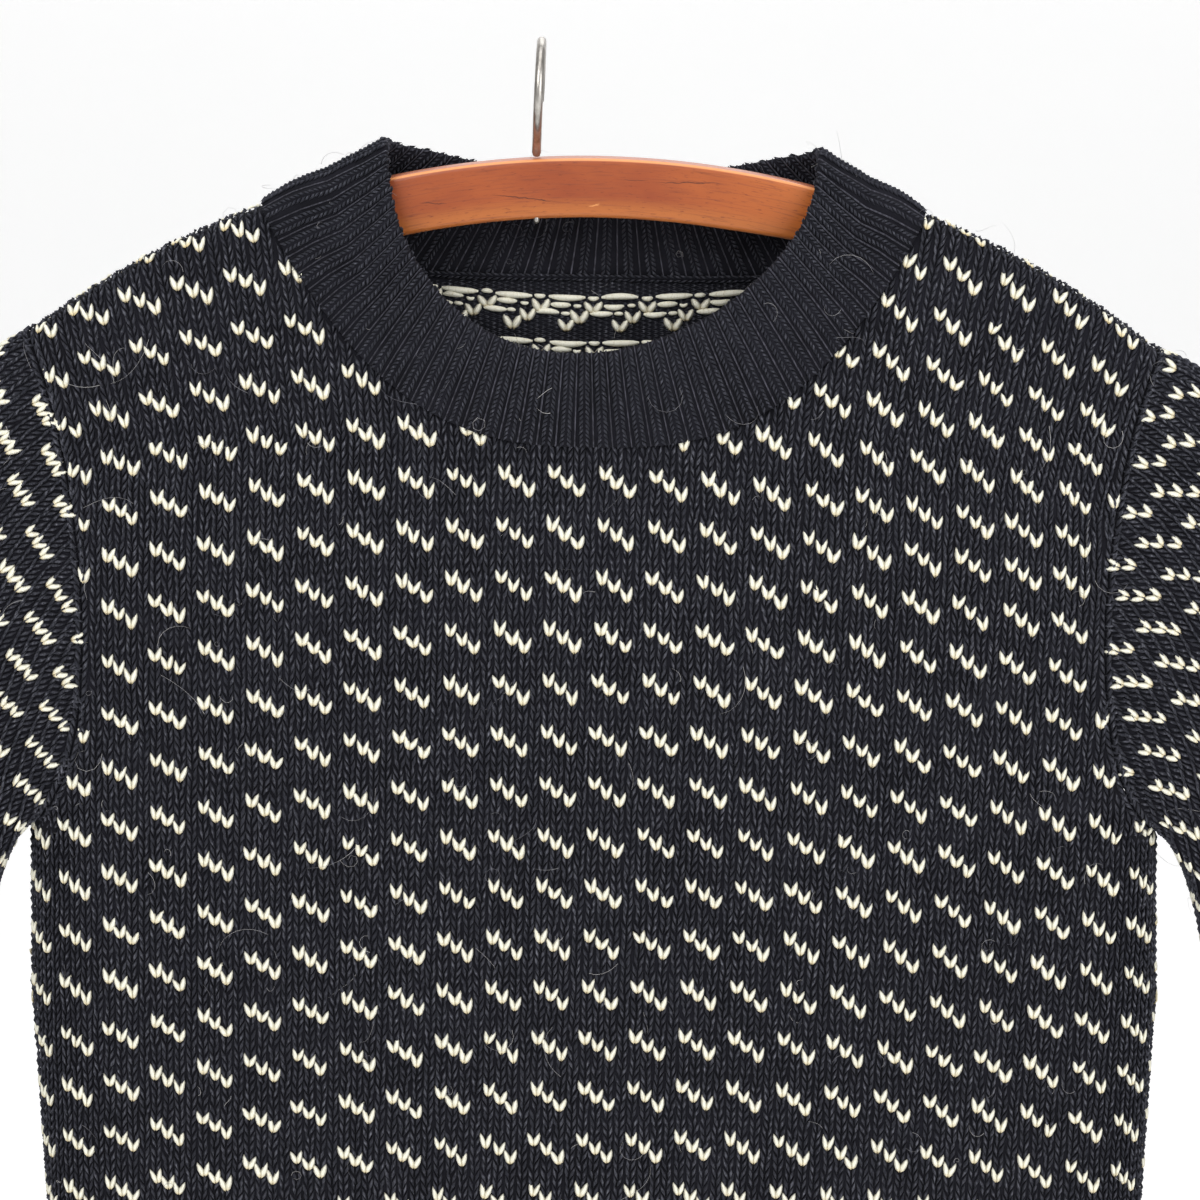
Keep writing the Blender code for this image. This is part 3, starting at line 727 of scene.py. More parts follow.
def node(tree, kind, inputs=(), **settings):
    """Adds a node with its settings and its inputs."""
    made = tree.nodes.new(kind)
    for name, value in settings.items():
        setattr(made, name, value)
    set_inputs(tree, made, inputs)
    return made


def sums(tree, operation, *values):
    """One step of arithmetic in a node tree."""
    return node(tree, "ShaderNodeMath", enumerate(values), operation=operation).outputs[0]


def named_attribute(tree, name, kind):
    found = node(tree, "GeometryNodeInputNamedAttribute", {"Name": name}, data_type=kind)
    return found.outputs[0]


def new_tree(name, inputs):
    tree = bpy.data.node_groups.new(name, "GeometryNodeTree")
    tree.interface.new_socket("Geometry", in_out="INPUT", socket_type="NodeSocketGeometry")
    for label, kind in inputs:
        tree.interface.new_socket(label, in_out="INPUT", socket_type="NodeSocket" + kind)
    tree.interface.new_socket("Geometry", in_out="OUTPUT", socket_type="NodeSocketGeometry")
    return tree, node(tree, "NodeGroupInput").outputs


def finish_tree(tree, geometry, material):
    realized = node(tree, "GeometryNodeRealizeInstances", {0: geometry})
    painted = node(
        tree, "GeometryNodeSetMaterial", {"Geometry": realized.outputs[0], "Material": material}
    )
    node(tree, "NodeGroupOutput", {0: painted.outputs[0]})


def stitch_tree():
    """Puts a stitch on every point, facing and rising as the point's attributes say."""
    found = bpy.data.node_groups.get("Knit stitches")
    if found:
        return found
    tree, given = new_tree(
        "Knit stitches",
        (("Stitch", "Object"), ("Width", "Float"), ("Length", "Float"), ("Unevenness", "Float"),
         ("Seed", "Int"), ("Material", "Material")),
    )
    turn = node(
        tree, "FunctionNodeAxesToRotation",
        {0: named_attribute(tree, "facing", "FLOAT_VECTOR"),
         1: named_attribute(tree, "rising", "FLOAT_VECTOR")},
        primary_axis="Z", secondary_axis="Y",
    )
    least = sums(tree, "SUBTRACT", 1.0, given["Unevenness"])
    most = sums(tree, "ADD", 1.0, given["Unevenness"])
    sizes = []
    for offset, label in enumerate(("Width", "Length", "Width")):
        seed = sums(tree, "ADD", given["Seed"], float(offset))
        share = node(
            tree, "FunctionNodeRandomValue", {2: least, 3: most, "Seed": seed}, data_type="FLOAT"
        )
        sizes.append(sums(tree, "MULTIPLY", share.outputs[1], given[label]))
    scale = node(tree, "ShaderNodeCombineXYZ", enumerate(sizes))
    stitch = node(tree, "GeometryNodeObjectInfo", {"Object": given["Stitch"]})
    placed = node(
        tree, "GeometryNodeInstanceOnPoints",
        {"Points": given["Geometry"], "Instance": stitch.outputs["Geometry"],
         "Rotation": turn.outputs[0], "Scale": scale.outputs[0]},
    )
    finish_tree(tree, placed.outputs[0], given["Material"])
    return tree


def strand_tree():
    """Sweeps a round section along polylines, as thick as their points say."""
    found = bpy.data.node_groups.get("Strands")
    if found:
        return found
    tree, given = new_tree("Strands", (("Sides", "Int"), ("Material", "Material")))
    thickness = named_attribute(tree, "thickness", "FLOAT")
    curve = node(tree, "GeometryNodeMeshToCurve", {0: given["Geometry"]})
    section = node(
        tree, "GeometryNodeCurvePrimitiveCircle", {"Resolution": given["Sides"], "Radius": 1.0}
    )
    swept = node(
        tree, "GeometryNodeCurveToMesh",
        {"Curve": curve.outputs[0], "Profile Curve": section.outputs["Curve"],
         "Scale": thickness, "Fill Caps": True},
    )
    shaded = node(tree, "GeometryNodeSetShadeSmooth", {0: swept.outputs[0]})
    finish_tree(tree, shaded.outputs[0], given["Material"])
    return tree


def grown(source, tree, values):
    """Runs a tree on an object and keeps the plain mesh that it makes."""
    modifier = source.modifiers.new(tree.name, "NODES")
    modifier.node_group = tree
    for item in tree.interface.items_tree:
        if item.in_out == "INPUT" and item.name in values:
            modifier[item.identifier] = values[item.name]
    source.update_tag()
    graph = bpy.context.evaluated_depsgraph_get()
    mesh = bpy.data.meshes.new_from_object(source.evaluated_get(graph), depsgraph=graph)
    source.modifiers.remove(modifier)
    old = source.data
    source.data = mesh
    bpy.data.meshes.remove(old)
    mesh.name = source.name
    return source


def add_attribute(made, name, kind, values):
    layer = made.data.attributes.new(name, kind, "POINT")
    key = "vector" if kind == "FLOAT_VECTOR" else "value"
    layer.data.foreach_set(key, np.asarray(values, dtype=np.float32).ravel())


def knitted(name, places, stitch, material, width, length):
    """Stitches at places, which hold points, facings and rising directions."""
    points, facings, risings = places
    made = plain_object(name, points, [])
    add_attribute(made, "facing", "FLOAT_VECTOR", facings)
    add_attribute(made, "rising", "FLOAT_VECTOR", risings)
    knit = bpy.context.scene.sweater_knit
    values = {
        "Stitch": stitch, "Width": width, "Length": length, "Unevenness": knit.unevenness,
        "Seed": knit.seed, "Material": material,
    }
    return grown(made, stitch_tree(), values)


def strands(name, routes, thicknesses, sides, material):
    points, edges, sizes = [], [], []
    for route, thickness in zip(routes, thicknesses):
        start = len(points)
        points.extend(route)
        sizes.extend(np.broadcast_to(thickness, len(route)))
        edges.extend((i, i + 1) for i in range(start, start + len(route) - 1))
    made = plain_object(name, points, [], edges)
    add_attribute(made, "thickness", "FLOAT", sizes)
    grown(made, strand_tree(), {"Sides": sides, "Material": material})
    point_outwards(made)
    return made


LegRing = namedtuple("LegRing", "share across rise half_width half_thick")
# One leg of a V, from its foot in the middle of the stitch to its tip, in shares of the
# stitch's width, its length and its width again
CREAM_LEG = (
    LegRing(0.00, 0.055, 0.050, 0.0, 0.0),
    LegRing(0.17, 0.135, 0.125, 0.220, 0.125),
    LegRing(0.50, 0.250, 0.125, 0.285, 0.145),
    LegRing(0.80, 0.365, 0.065, 0.200, 0.115),
    LegRing(1.00, 0.475, -0.040, 0.0, 0.0),
)
NAVY_LEG = (
    LegRing(0.00, 0.060, 0.020, 0.0, 0.0),
    LegRing(0.46, 0.235, 0.100, 0.185, 0.150),
    LegRing(1.00, 0.440, -0.060, 0.0, 0.0),
)
LEG_SIDES = 3
TIP_CREST = 0.25
NAVY_SAMPLE, CREAM_SAMPLE = "navy_stitch_sample", "cream_stitch_sample"
SAMPLE_LEGS = {NAVY_SAMPLE: NAVY_LEG, CREAM_SAMPLE: CREAM_LEG}


def stitch_object(name, leg):
    """A V of two three-sided legs, one wide and one long, that is scaled to its knit."""
    points, crests, faces = [], [], []
    for mirror in (-1, 1):
        rings = []
        for ring in leg:
            middle = np.array([mirror * ring.across, ring.share - 0.5, ring.rise])
            if ring.half_width == 0.0:
                rings.append([len(points)])
                points.append(middle)
                crests.append(TIP_CREST)
                continue
            start = len(points)
            for step in range(LEG_SIDES):
                angle = math.pi / 2 + 2 * math.pi * step / LEG_SIDES
                offset = (ring.half_width * math.cos(angle), 0, ring.half_thick * math.sin(angle))
                points.append(middle + offset)
                crests.append((1 + math.sin(angle)) / 2)
            rings.append(list(range(start, start + LEG_SIDES)))
        for lower, upper in zip(rings, rings[1:]):
            for i in range(LEG_SIDES):
                j = (i + 1) % LEG_SIDES
                face = [lower[i % len(lower)], lower[j % len(lower)]]
                face += [upper[j % len(upper)], upper[i % len(upper)]]
                faces.append(list(dict.fromkeys(face)))
    made = plain_object(name, points, faces)
    point_outwards(made)
    # How far each point lies towards the foot, where the cream takes its painted shade.
    add_attribute(made, "turned_in", "FLOAT", [0.5 - point[1] for point in points])
    # Height round each leg, 0 underneath to 1 on top, over which the finishes paint highlight on
    # the crest and shade low down.
    add_attribute(made, "crest", "FLOAT", crests)
    made.hide_render = True
    return made


def stitch_sample(name):
    return bpy.data.objects.get(name) or stitch_object(name, SAMPLE_LEGS[name])


# Finishes

Grain = namedtuple(
    "Grain", "scale stretch low high detail roughness", defaults=(0.0, 1.0, 3.0, 0.6)
)
# Noise, where low and high are the values that show not at all and in full. Over the cloth and
# the wire it is drawn out along the sweater's height.
NAVY_FIBRES = Grain(1100.0, (1, 1, 0.25), 0.42, 0.70)
NAVY_TUFTS = Grain(420.0, (1, 1, 0.30), 0.36, 0.62, 4.0)
NAVY_PATCHES = Grain(45.0, (1, 1, 1), 0.35, 0.70)
NAVY_RELIEF = Grain(1800.0, (1, 1, 0.3))
VALLEY_FIBRES = Grain(900.0, (1, 1, 0.3), 0.40, 0.72)
CREAM_FIBRES = Grain(1300.0, (1, 1, 0.25), 0.52, 0.85)
CREAM_RELIEF = Grain(1600.0, (1, 1, 0.25))
FIBRE_TONES = Grain(25.0, (1, 1, 1), 0.35, 0.65)
STEEL_WEAR = Grain(320.0, (1, 1, 0.3), 0.35, 0.75)
PAPER_SHADE = Grain(2.0, (1, 1, 1), 0.0, 1.0, 1.0)
# Grain of the bar, on its own map in metres along and up
BEECH_CLOUDS = Grain(24.0, (1.0, 1.9, 1.0), 0.36, 0.66, 3.0, 0.55)
BEECH_FINE = Grain(170.0, (0.35, 7.0, 1.0), 0.52, 0.82, 5.0, 0.55)
BEECH_PORES = Grain(900.0, (0.30, 1.6, 1.0), 0.60, 0.80, 2.0, 0.55)
BEECH_LINES = Grain(34.0, (0.40, 8.0, 1.0), 0.665, 0.72, 2.0, 0.55)
BEECH_STRAY = Grain(260.0, (1.0, 1.0, 1.0), 0.3, 0.7, 2.0, 0.55)

# Heights on a stitch, 0 deep in the knit to 1 on its crest, and how far its end turns in: the
# spans of painted highlight and painted shade
CREST_LIT = (0.05, 0.95)
CREST_SHADE = (0.0, 0.6)
CREAM_FOOT_SHADE = (0.66, 1.0)
CREAM_EDGE_SHADE = (0.42, 0.10)
# Places on the bar in metres, along it from its top and up from its lower edge, where its painted
# light and its lighter lower edge lie
# Painted light: the right part of the bar is coloured brighter.
WOOD_RIGHT_LIT_SPAN = (0.03, 0.12)
# The bar turns lighter towards its lower edge.
WOOD_LOW_SPAN = (0.0085, 0.0030)
# Painted highlight along the rounded top rim.
WOOD_RIM_HIGHLIGHT_SPAN = (0.0224, 0.0229)
# The top face painted lighter, as lit from above.
WOOD_TOP_LIT_SPAN = (0.0234, 0.0238)

# Colours that go with those of the settings
SHEEN_TINT = "b9bccb"
VALLEY_DARK, VALLEY_LIGHT = "292931", "52525d"
CREAM_FLECK = "cbbd96"
DARK_FIBRE = "4a4a55"
WORN_STEEL = "8f8a83"
PAPER_DIM = "f6f6f6"
# The second is painted light on the bar's right part.
WOOD_CLOUD, WOOD_RIGHT_LIT = "a45022", "c76d2a"
WOOD_FINE, WOOD_PORES = "7c381c", "6e2c12"
# A painted highlight on the top rim, and the top face painted lighter.
WOOD_RIM_HIGHLIGHT, WOOD_TOP_LIT = "ec9a5c", "b4694a"


def finish(name):
    """Makes a finish on its first use, by painting a material of this name."""

    def named(paint):
        def get():
            found = bpy.data.materials.get(name)
            if found is None:
                found = bpy.data.materials.new(name)
                found.use_nodes = True
                tree = found.node_tree
                paint(tree, tree.nodes["Principled BSDF"])
            return found

        return get

    return named


def mix_colours(tree, share, first, second):
    mixed = node(tree, "ShaderNodeMix", {0: share, 6: first, 7: second}, data_type="RGBA")
    return mixed.outputs[2]


def ramp(tree, value, low, high):
    return node(
        tree, "ShaderNodeMapRange",
        {"Value": value, "From Min": low, "From Max": high},
    ).outputs["Result"]


def noise(tree, grain, place=None):
    """Noise on object coordinates or a given place, with its grain drawn out along one axis."""
    if place is None:
        place = node(tree, "ShaderNodeTexCoord").outputs["Object"]
    turned = node(tree, "ShaderNodeMapping", {"Vector": place, "Scale": grain.stretch})
    return node(
        tree, "ShaderNodeTexNoise",
        {"Vector": turned.outputs[0], "Scale": grain.scale, "Detail": grain.detail,
         "Roughness": grain.roughness},
    ).outputs["Fac"]


def grained(tree, grain, place=None):
    return ramp(tree, noise(tree, grain, place), grain.low, grain.high)


def bump(tree, height, strength, distance):
    made = node(
        tree, "ShaderNodeBump", {"Strength": strength, "Distance": distance, "Height": height}
    )
    return made.outputs[0]


def stitch_attribute(tree, name):
    return node(tree, "ShaderNodeAttribute", attribute_name=name).outputs["Fac"]


def paint_navy(tree, shader, dark, deep, light):
    """Brushed two-ply wool in dark navy, matt, with painted shade darkest deep between the
    stitches and a painted highlight on their crests.
    """
    crest = stitch_attribute(tree, "crest")
    fibres = sums(tree, "MULTIPLY", grained(tree, NAVY_FIBRES), grained(tree, NAVY_TUFTS))
    # Painted highlight: the crests are coloured lighter, in flecks of fibre.
    lit = sums(tree, "MULTIPLY", ramp(tree, crest, *CREST_LIT), fibres)
    # Painted shade on the ground between the stitches, darker and lighter in patches.
    ground = mix_colours(tree, grained(tree, NAVY_PATCHES), linear(dark), linear(deep))
    navy = linear(bpy.context.scene.sweater_knit.navy)
    # The painted shade low on a stitch gives way to the navy up towards its crest.
    body = mix_colours(tree, ramp(tree, crest, *CREST_SHADE), ground, navy)
    set_inputs(tree, shader, {
        "Base Color": mix_colours(tree, lit, body, linear(light)),
        "Roughness": 0.95, "Specular IOR Level": 0.12,
        "Sheen Weight": 0.06, "Sheen Roughness": 0.45, "Sheen Tint": linear(SHEEN_TINT),
        "Normal": bump(tree, noise(tree, NAVY_RELIEF), strength=0.5, distance=0.0003),
    })


@finish("navy wool yarn, body knit")
def navy_wool(tree, shader):
    """The wool of the body and the sleeves."""
    knit = bpy.context.scene.sweater_knit
    paint_navy(tree, shader, knit.navy_shade, knit.navy_soft_shade, knit.navy_highlight)


@finish("navy wool yarn, rib knit")
def rib_wool(tree, shader):
    """The ribs lie closer together than the body's stitches, so the painted shade on their ground
    is less dark.
    """
    knit = bpy.context.scene.sweater_knit
    paint_navy(tree, shader, knit.rib_shade, knit.rib_soft_shade, knit.rib_highlight)


@finish("navy wool yarn, between ribs")
def valley_yarn(tree, shader):
    """The same wool where a straight strand shows between two ribs, and catches the light."""
    fibres = grained(tree, VALLEY_FIBRES)
    colour = mix_colours(tree, fibres, linear(VALLEY_DARK), linear(VALLEY_LIGHT))
    set_inputs(tree, shader, {"Base Color": colour, "Roughness": 0.95})


@finish("cream wool yarn")
def cream_wool(tree, shader):
    """Undyed cream wool: pale and matt, with painted shade, yellower and darker, where the stitch
    turns in and along the low edges of its legs.
    """
    knit = bpy.context.scene.sweater_knit
    # Painted shade at the foot of each V.
    foot = ramp(tree, stitch_attribute(tree, "turned_in"), *CREAM_FOOT_SHADE)
    body = mix_colours(tree, foot, linear(knit.cream), linear(knit.cream_shade))
    # Painted shade along the low edges of the legs.
    edges = ramp(tree, stitch_attribute(tree, "crest"), *CREAM_EDGE_SHADE)
    body = mix_colours(tree, edges, body, linear(knit.cream_shade))
    set_inputs(tree, shader, {
        "Base Color": mix_colours(tree, grained(tree, CREAM_FIBRES), body, linear(CREAM_FLECK)),
        "Roughness": 0.9, "Specular IOR Level": 0.25,
        "Sheen Weight": 0.15, "Sheen Roughness": 0.5,
        "Normal": bump(tree, noise(tree, CREAM_RELIEF), strength=0.5, distance=0.0003),
    })


@finish("loose wool fibre")
def loose_fibre(tree, shader):
    """Stray wool hairs that catch the light."""
    pale = linear(bpy.context.scene.sweater_fibres.colour)
    colour = mix_colours(tree, grained(tree, FIBRE_TONES), pale, linear(DARK_FIBRE))
    set_inputs(tree, shader, {"Base Color": colour, "Roughness": 0.7})


def streak_share(tree, split, stray, streak):
    """How much of a mark shows: thin across its slanting line, and fading to both ends."""
    along = sums(tree, "SUBTRACT", split.outputs[0], streak.along)
    line = sums(tree, "MULTIPLY_ADD", along, streak.slope, streak.up)
    line = sums(tree, "MULTIPLY_ADD", stray, streak.half_width * 2, line)
    across = sums(tree, "ABSOLUTE", sums(tree, "SUBTRACT", split.outputs[1], line))
    reach = sums(tree, "ABSOLUTE", along)
    thin = ramp(tree, across, streak.half_width, 0.0)
    ends = ramp(tree, reach, streak.half_length, streak.half_length * 0.5)
    return sums(tree, "MULTIPLY", thin, ends)


@finish("varnished beech")
def varnished_beech(tree, shader):
    """Stained beech under clear varnish: orange brown, with fine dark grain along the bar, lighter
    towards its lower edge, with its right part painted brighter, a painted highlight on its top
    rim and its top face painted lighter.
    """
    hanger = bpy.context.scene.sweater_hanger
    place = node(tree, "ShaderNodeUVMap", uv_map="along_bar").outputs[0]
    split = node(tree, "ShaderNodeSeparateXYZ", {0: place})
    along, height = split.outputs[0], split.outputs[1]
    fine = grained(tree, BEECH_FINE, place)
    stray = grained(tree, BEECH_STRAY, place)
    layers = [
        (grained(tree, BEECH_CLOUDS, place), WOOD_CLOUD),
        # Painted light: the right part brighter.
        (ramp(tree, along, *WOOD_RIGHT_LIT_SPAN), WOOD_RIGHT_LIT),
        # Lighter towards the lower edge.
        (ramp(tree, height, *WOOD_LOW_SPAN), hanger.wood_light),
        (fine, WOOD_FINE),
        (grained(tree, BEECH_PORES, place), WOOD_PORES),
        (grained(tree, BEECH_LINES, place), hanger.grain),
        *[(streak_share(tree, split, stray, streak), streak.colour) for streak in WOOD_STREAKS],
        # Painted highlight along the top rim.
        (ramp(tree, height, *WOOD_RIM_HIGHLIGHT_SPAN), WOOD_RIM_HIGHLIGHT),
        # Painted light: the top face lighter.
        (ramp(tree, height, *WOOD_TOP_LIT_SPAN), WOOD_TOP_LIT),
    ]
    colour = linear(hanger.wood)
    for share, over in layers:
        colour = mix_colours(tree, share, colour, linear(over))
    set_inputs(tree, shader, {
        "Base Color": colour, "Roughness": 0.42, "Coat Weight": 0.2, "Coat Roughness": 0.22,
        "Normal": bump(tree, fine, strength=0.25, distance=0.0002),
    })


@finish("drawn steel wire")
def drawn_steel(tree, shader):
    """Drawn steel wire, dulled by use, with fine marks along it."""
    bright = linear(bpy.context.scene.sweater_hanger.steel)
    colour = mix_colours(tree, grained(tree, STEEL_WEAR), bright, linear(WORN_STEEL))
    set_inputs(tree, shader, {"Base Color": colour, "Metallic": 1.0, "Roughness": 0.34})


@finish("white backdrop paper")
def backdrop_paper(tree, shader):
    """Seamless white paper, lit until it is nearly white in the picture."""
    backdrop = linear(bpy.context.scene.sweater_stage.backdrop)
    colour = mix_colours(tree, grained(tree, PAPER_SHADE), backdrop, linear(PAPER_DIM))
    set_inputs(tree, shader, {
        "Base Color": colour, "Emission Color": colour, "Emission Strength": 0.40,
        "Roughness": 0.95,
    })


def dressed(made, material):
    """Gives a piece its finish and its place on the one body."""
    if not made.data.materials:
        made.data.materials.append(material)
    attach(made, "root")
    return made


# Where the stitches lie


def is_white(across, down):
    """Whether the birdseye has a white stitch, counting to the viewer's right and down."""
    step = down % REPEAT_ROWS
    return (step < WHITE_ROWS) & ((across - step) % REPEAT_STITCHES == REPEAT_STITCHES - 1)


def turned_over(x, z):
    """Rolls the courses that rise past the front over the shoulder, keeping their spacing."""
    turn = np.linspace(0, math.pi / 2, TURN_SAMPLES)
    drops = RIDGE_ROUND * (1 - np.cos(turn))
    arcs = lengths_along(np.stack([drops, BAR_COVER * np.sin(turn)], axis=1))
    down = below_ridge(x, z)
    arc = down + arcs[-1] - RIDGE_ROUND
    new_down = np.where(down < RIDGE_ROUND, np.interp(arc, arcs, drops), down)
    middle = np.array([BAR_TOP_X - NECK_X, BAR_TOP_Z - BAR_RADIUS])
    share = (RIDGE_RADIUS - new_down) / (RIDGE_RADIUS - down)
    return middle[0] + (x - middle[0]) * share, middle[1] + (z - middle[1]) * share, arc


def course_height(face, knit, row):
    if face is FRONT:
        return FIRST_GROUP_Z - knit.row_height * row - ROW_STRETCH * max(row, 0) ** 2 / REPEAT_ROWS
    return FIRST_GROUP_Z + BACK_GROUP_RISE - BACK_ROW_STRETCH * knit.row_height * row


def on_course(face, height, x):
    if face is FRONT:
        tilt = looked_up(height, COURSES, "height", "tilt")
        bow = looked_up(height, COURSES, "height", "bow")
        return height - tilt * x - bow * x * x
    return height - BACK_COURSE_BOW * x * x


def width_at(x, z):
    top = ridge_height(np.copysign(SHOULDER_HALF_WIDTH, x))
    return side_half_width(np.clip((top - z) / (top - HEM_SEAM_Z), 0.0, 1.0))


def course_stitches(face, knit, row):
    """x, z, wale and row of the stitches of one course, from side to side."""
    height = course_height(face, knit, row)
    reach = np.sin(np.linspace(-math.pi / 2, math.pi / 2, COURSE_SAMPLES))
    x = reach * SIDE_SEAM[0].half_width
    # The width changes with the height that a leaning course has there, so it is found twice
    for _ in range(2):
        x = reach * width_at(x, on_course(face, height, x))
    z = on_course(face, height, x)
    along = lengths_along(np.stack([x, body_depth(face, x, z), z], axis=1))
    middle = MIDDLE_WALE_X + WALE_LEAN * (height - FIRST_GROUP_Z) if face is FRONT else 0.0
    along = along - np.interp(middle, x, along)
    wales = np.arange(-MOST_WALES, MOST_WALES + 1)
    wanted = wales * knit.stitch_width
    if face is FRONT:
        fan = 1 + FAN * max(0.0, height - FAN_START_Z)
        wanted = wanted * np.where(wales < 0, LEFT_SPREAD, RIGHT_SPREAD) * fan
    inside = (wanted > along[0]) & (wanted < along[-1])
    wales = wales[inside]
    at = np.interp(wanted[inside], along, x)
    return np.stack([at, on_course(face, height, at), wales, 0 * wales + row], axis=1)


def on_panel(face, x, z, arc):
    """Which stitches lie on a panel, clear of its seams and of the neck."""
    keep = (arc > SEAM_MARGIN) & (z > HEM_SEAM_Z + SEAM_MARGIN)
    keep &= np.abs(x) < width_at(x, z) - SEAM_MARGIN * (z > side_height(1, UNDERARM_SHARE))
    under = UNDER_COLLAR if face is FRONT else -SEAM_MARGIN
    in_neck = z > neck_height(face, x) + under
    return keep & ~(in_neck & (np.abs(x) < NECK_HALF_WIDTH))


def panel_stitches(face, knit):
    """Points, facings, risings and whiteness of a panel's stitches, course by course."""
    first, last = -int(COURSES_ABOVE / knit.row_height), int(COURSES_BELOW / knit.row_height)
    courses = [course_stitches(face, knit, row) for row in range(first, last)]
    x, z, wales, rows = np.concatenate(courses).T
    x, z, arc = turned_over(x, z)
    keep = on_panel(face, x, z, arc)
    x, z, wales, rows = x[keep], z[keep], wales[keep], rows[keep]
    _, slope_z = face_slopes(face, x, z)
    facings = face_normal(face, x, z)
    lean = WALE_LEAN + FAN * x * (z > FAN_START_Z) if face is FRONT else 0 * x
    risings = np.stack([lean, face.sign * slope_z, 1 + 0 * x], axis=1)
    points = np.stack([x + NECK_X, face.sign * half_depth(face, x, z), z], axis=1)
    points = points - facings * BASE_DROP
    white = is_white(wales * -face.sign, rows + 1)
    return points, facings, risings, white


def shifted(points, facings, risings, amount, seed):
    """Moves each stitch a little within the cloth."""
    draw = np.random.default_rng(seed).normal(0.0, amount, (2, len(points), 1))
    return points + unit(risings) * draw[0] + np.cross(unit(risings), facings) * draw[1]


def wobble(risings, facings, amount, seed):
    """Turns each stitch a little, either way."""
    draw = np.random.default_rng(seed).normal(0.0, amount, (len(risings), 1))
    return unit(risings) + np.cross(unit(risings), facings) * draw


def knit_two_colours(name, stitched, knit):
    """The navy and the cream stitches of a piece, as two objects."""
    points, facings, risings, white = stitched
    seed = PIECE_SEEDS[name]
    points = shifted(points, facings, risings, STITCH_STRAY, seed)
    risings = wobble(risings, facings, BODY_TURN, seed)
    made = []
    kinds = (
        ("navy", ~white, NAVY_SAMPLE, navy_wool(), KNIT_SLOT),
        ("cream", white, CREAM_SAMPLE, cream_wool(), CREAM_SLOT),
    )
    for colour, chosen, sample, material, slot in kinds:
        places = points[chosen], facings[chosen], risings[chosen]
        stitches = knitted(
            f"{name}_{colour}_stitches", places, stitch_sample(sample), material,
            knit.stitch_width, knit.stitch_length,
        )
        made.append(dressed(stitches, material))
    return made


def inside_base(points, normals):
    """The outer and the inner face of the ground that the stitches lie on."""
    return points - normals * GROUND_DROP, points - normals * WALL


# Pieces of the body


class SWEATER_OT_panels(bpy.types.Operator):
    """Knit the front and the back over the model's body panels"""

    bl_idname = "sweater.panels"
    bl_label = "Front and Back"

    def execute(self, context):
        knit = context.scene.sweater_knit
        for name, face in (("front", FRONT), ("back", BACK)):
            points, normals = panel_grid(face)
            outer, inner = inside_base(points, normals)
            base = wall_object(name + "_ground", outer, inner, False)
            # The ground has no crest, so it is coloured all over in the navy's painted shade,
            # which shows between the stitches.
            dressed(base, navy_wool())
            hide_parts(name)
            stitches = knit_two_colours(name, panel_stitches(face, knit), knit)
        return {"FINISHED"}


def back_inside(x, z):
    """A point on the inside of the back, and the way it faces."""
    facing = -face_normal(BACK, x, z)
    point = np.stack([x + NECK_X, half_depth(BACK, x, z), z], axis=-1) + facing * WALL
    return point, facing


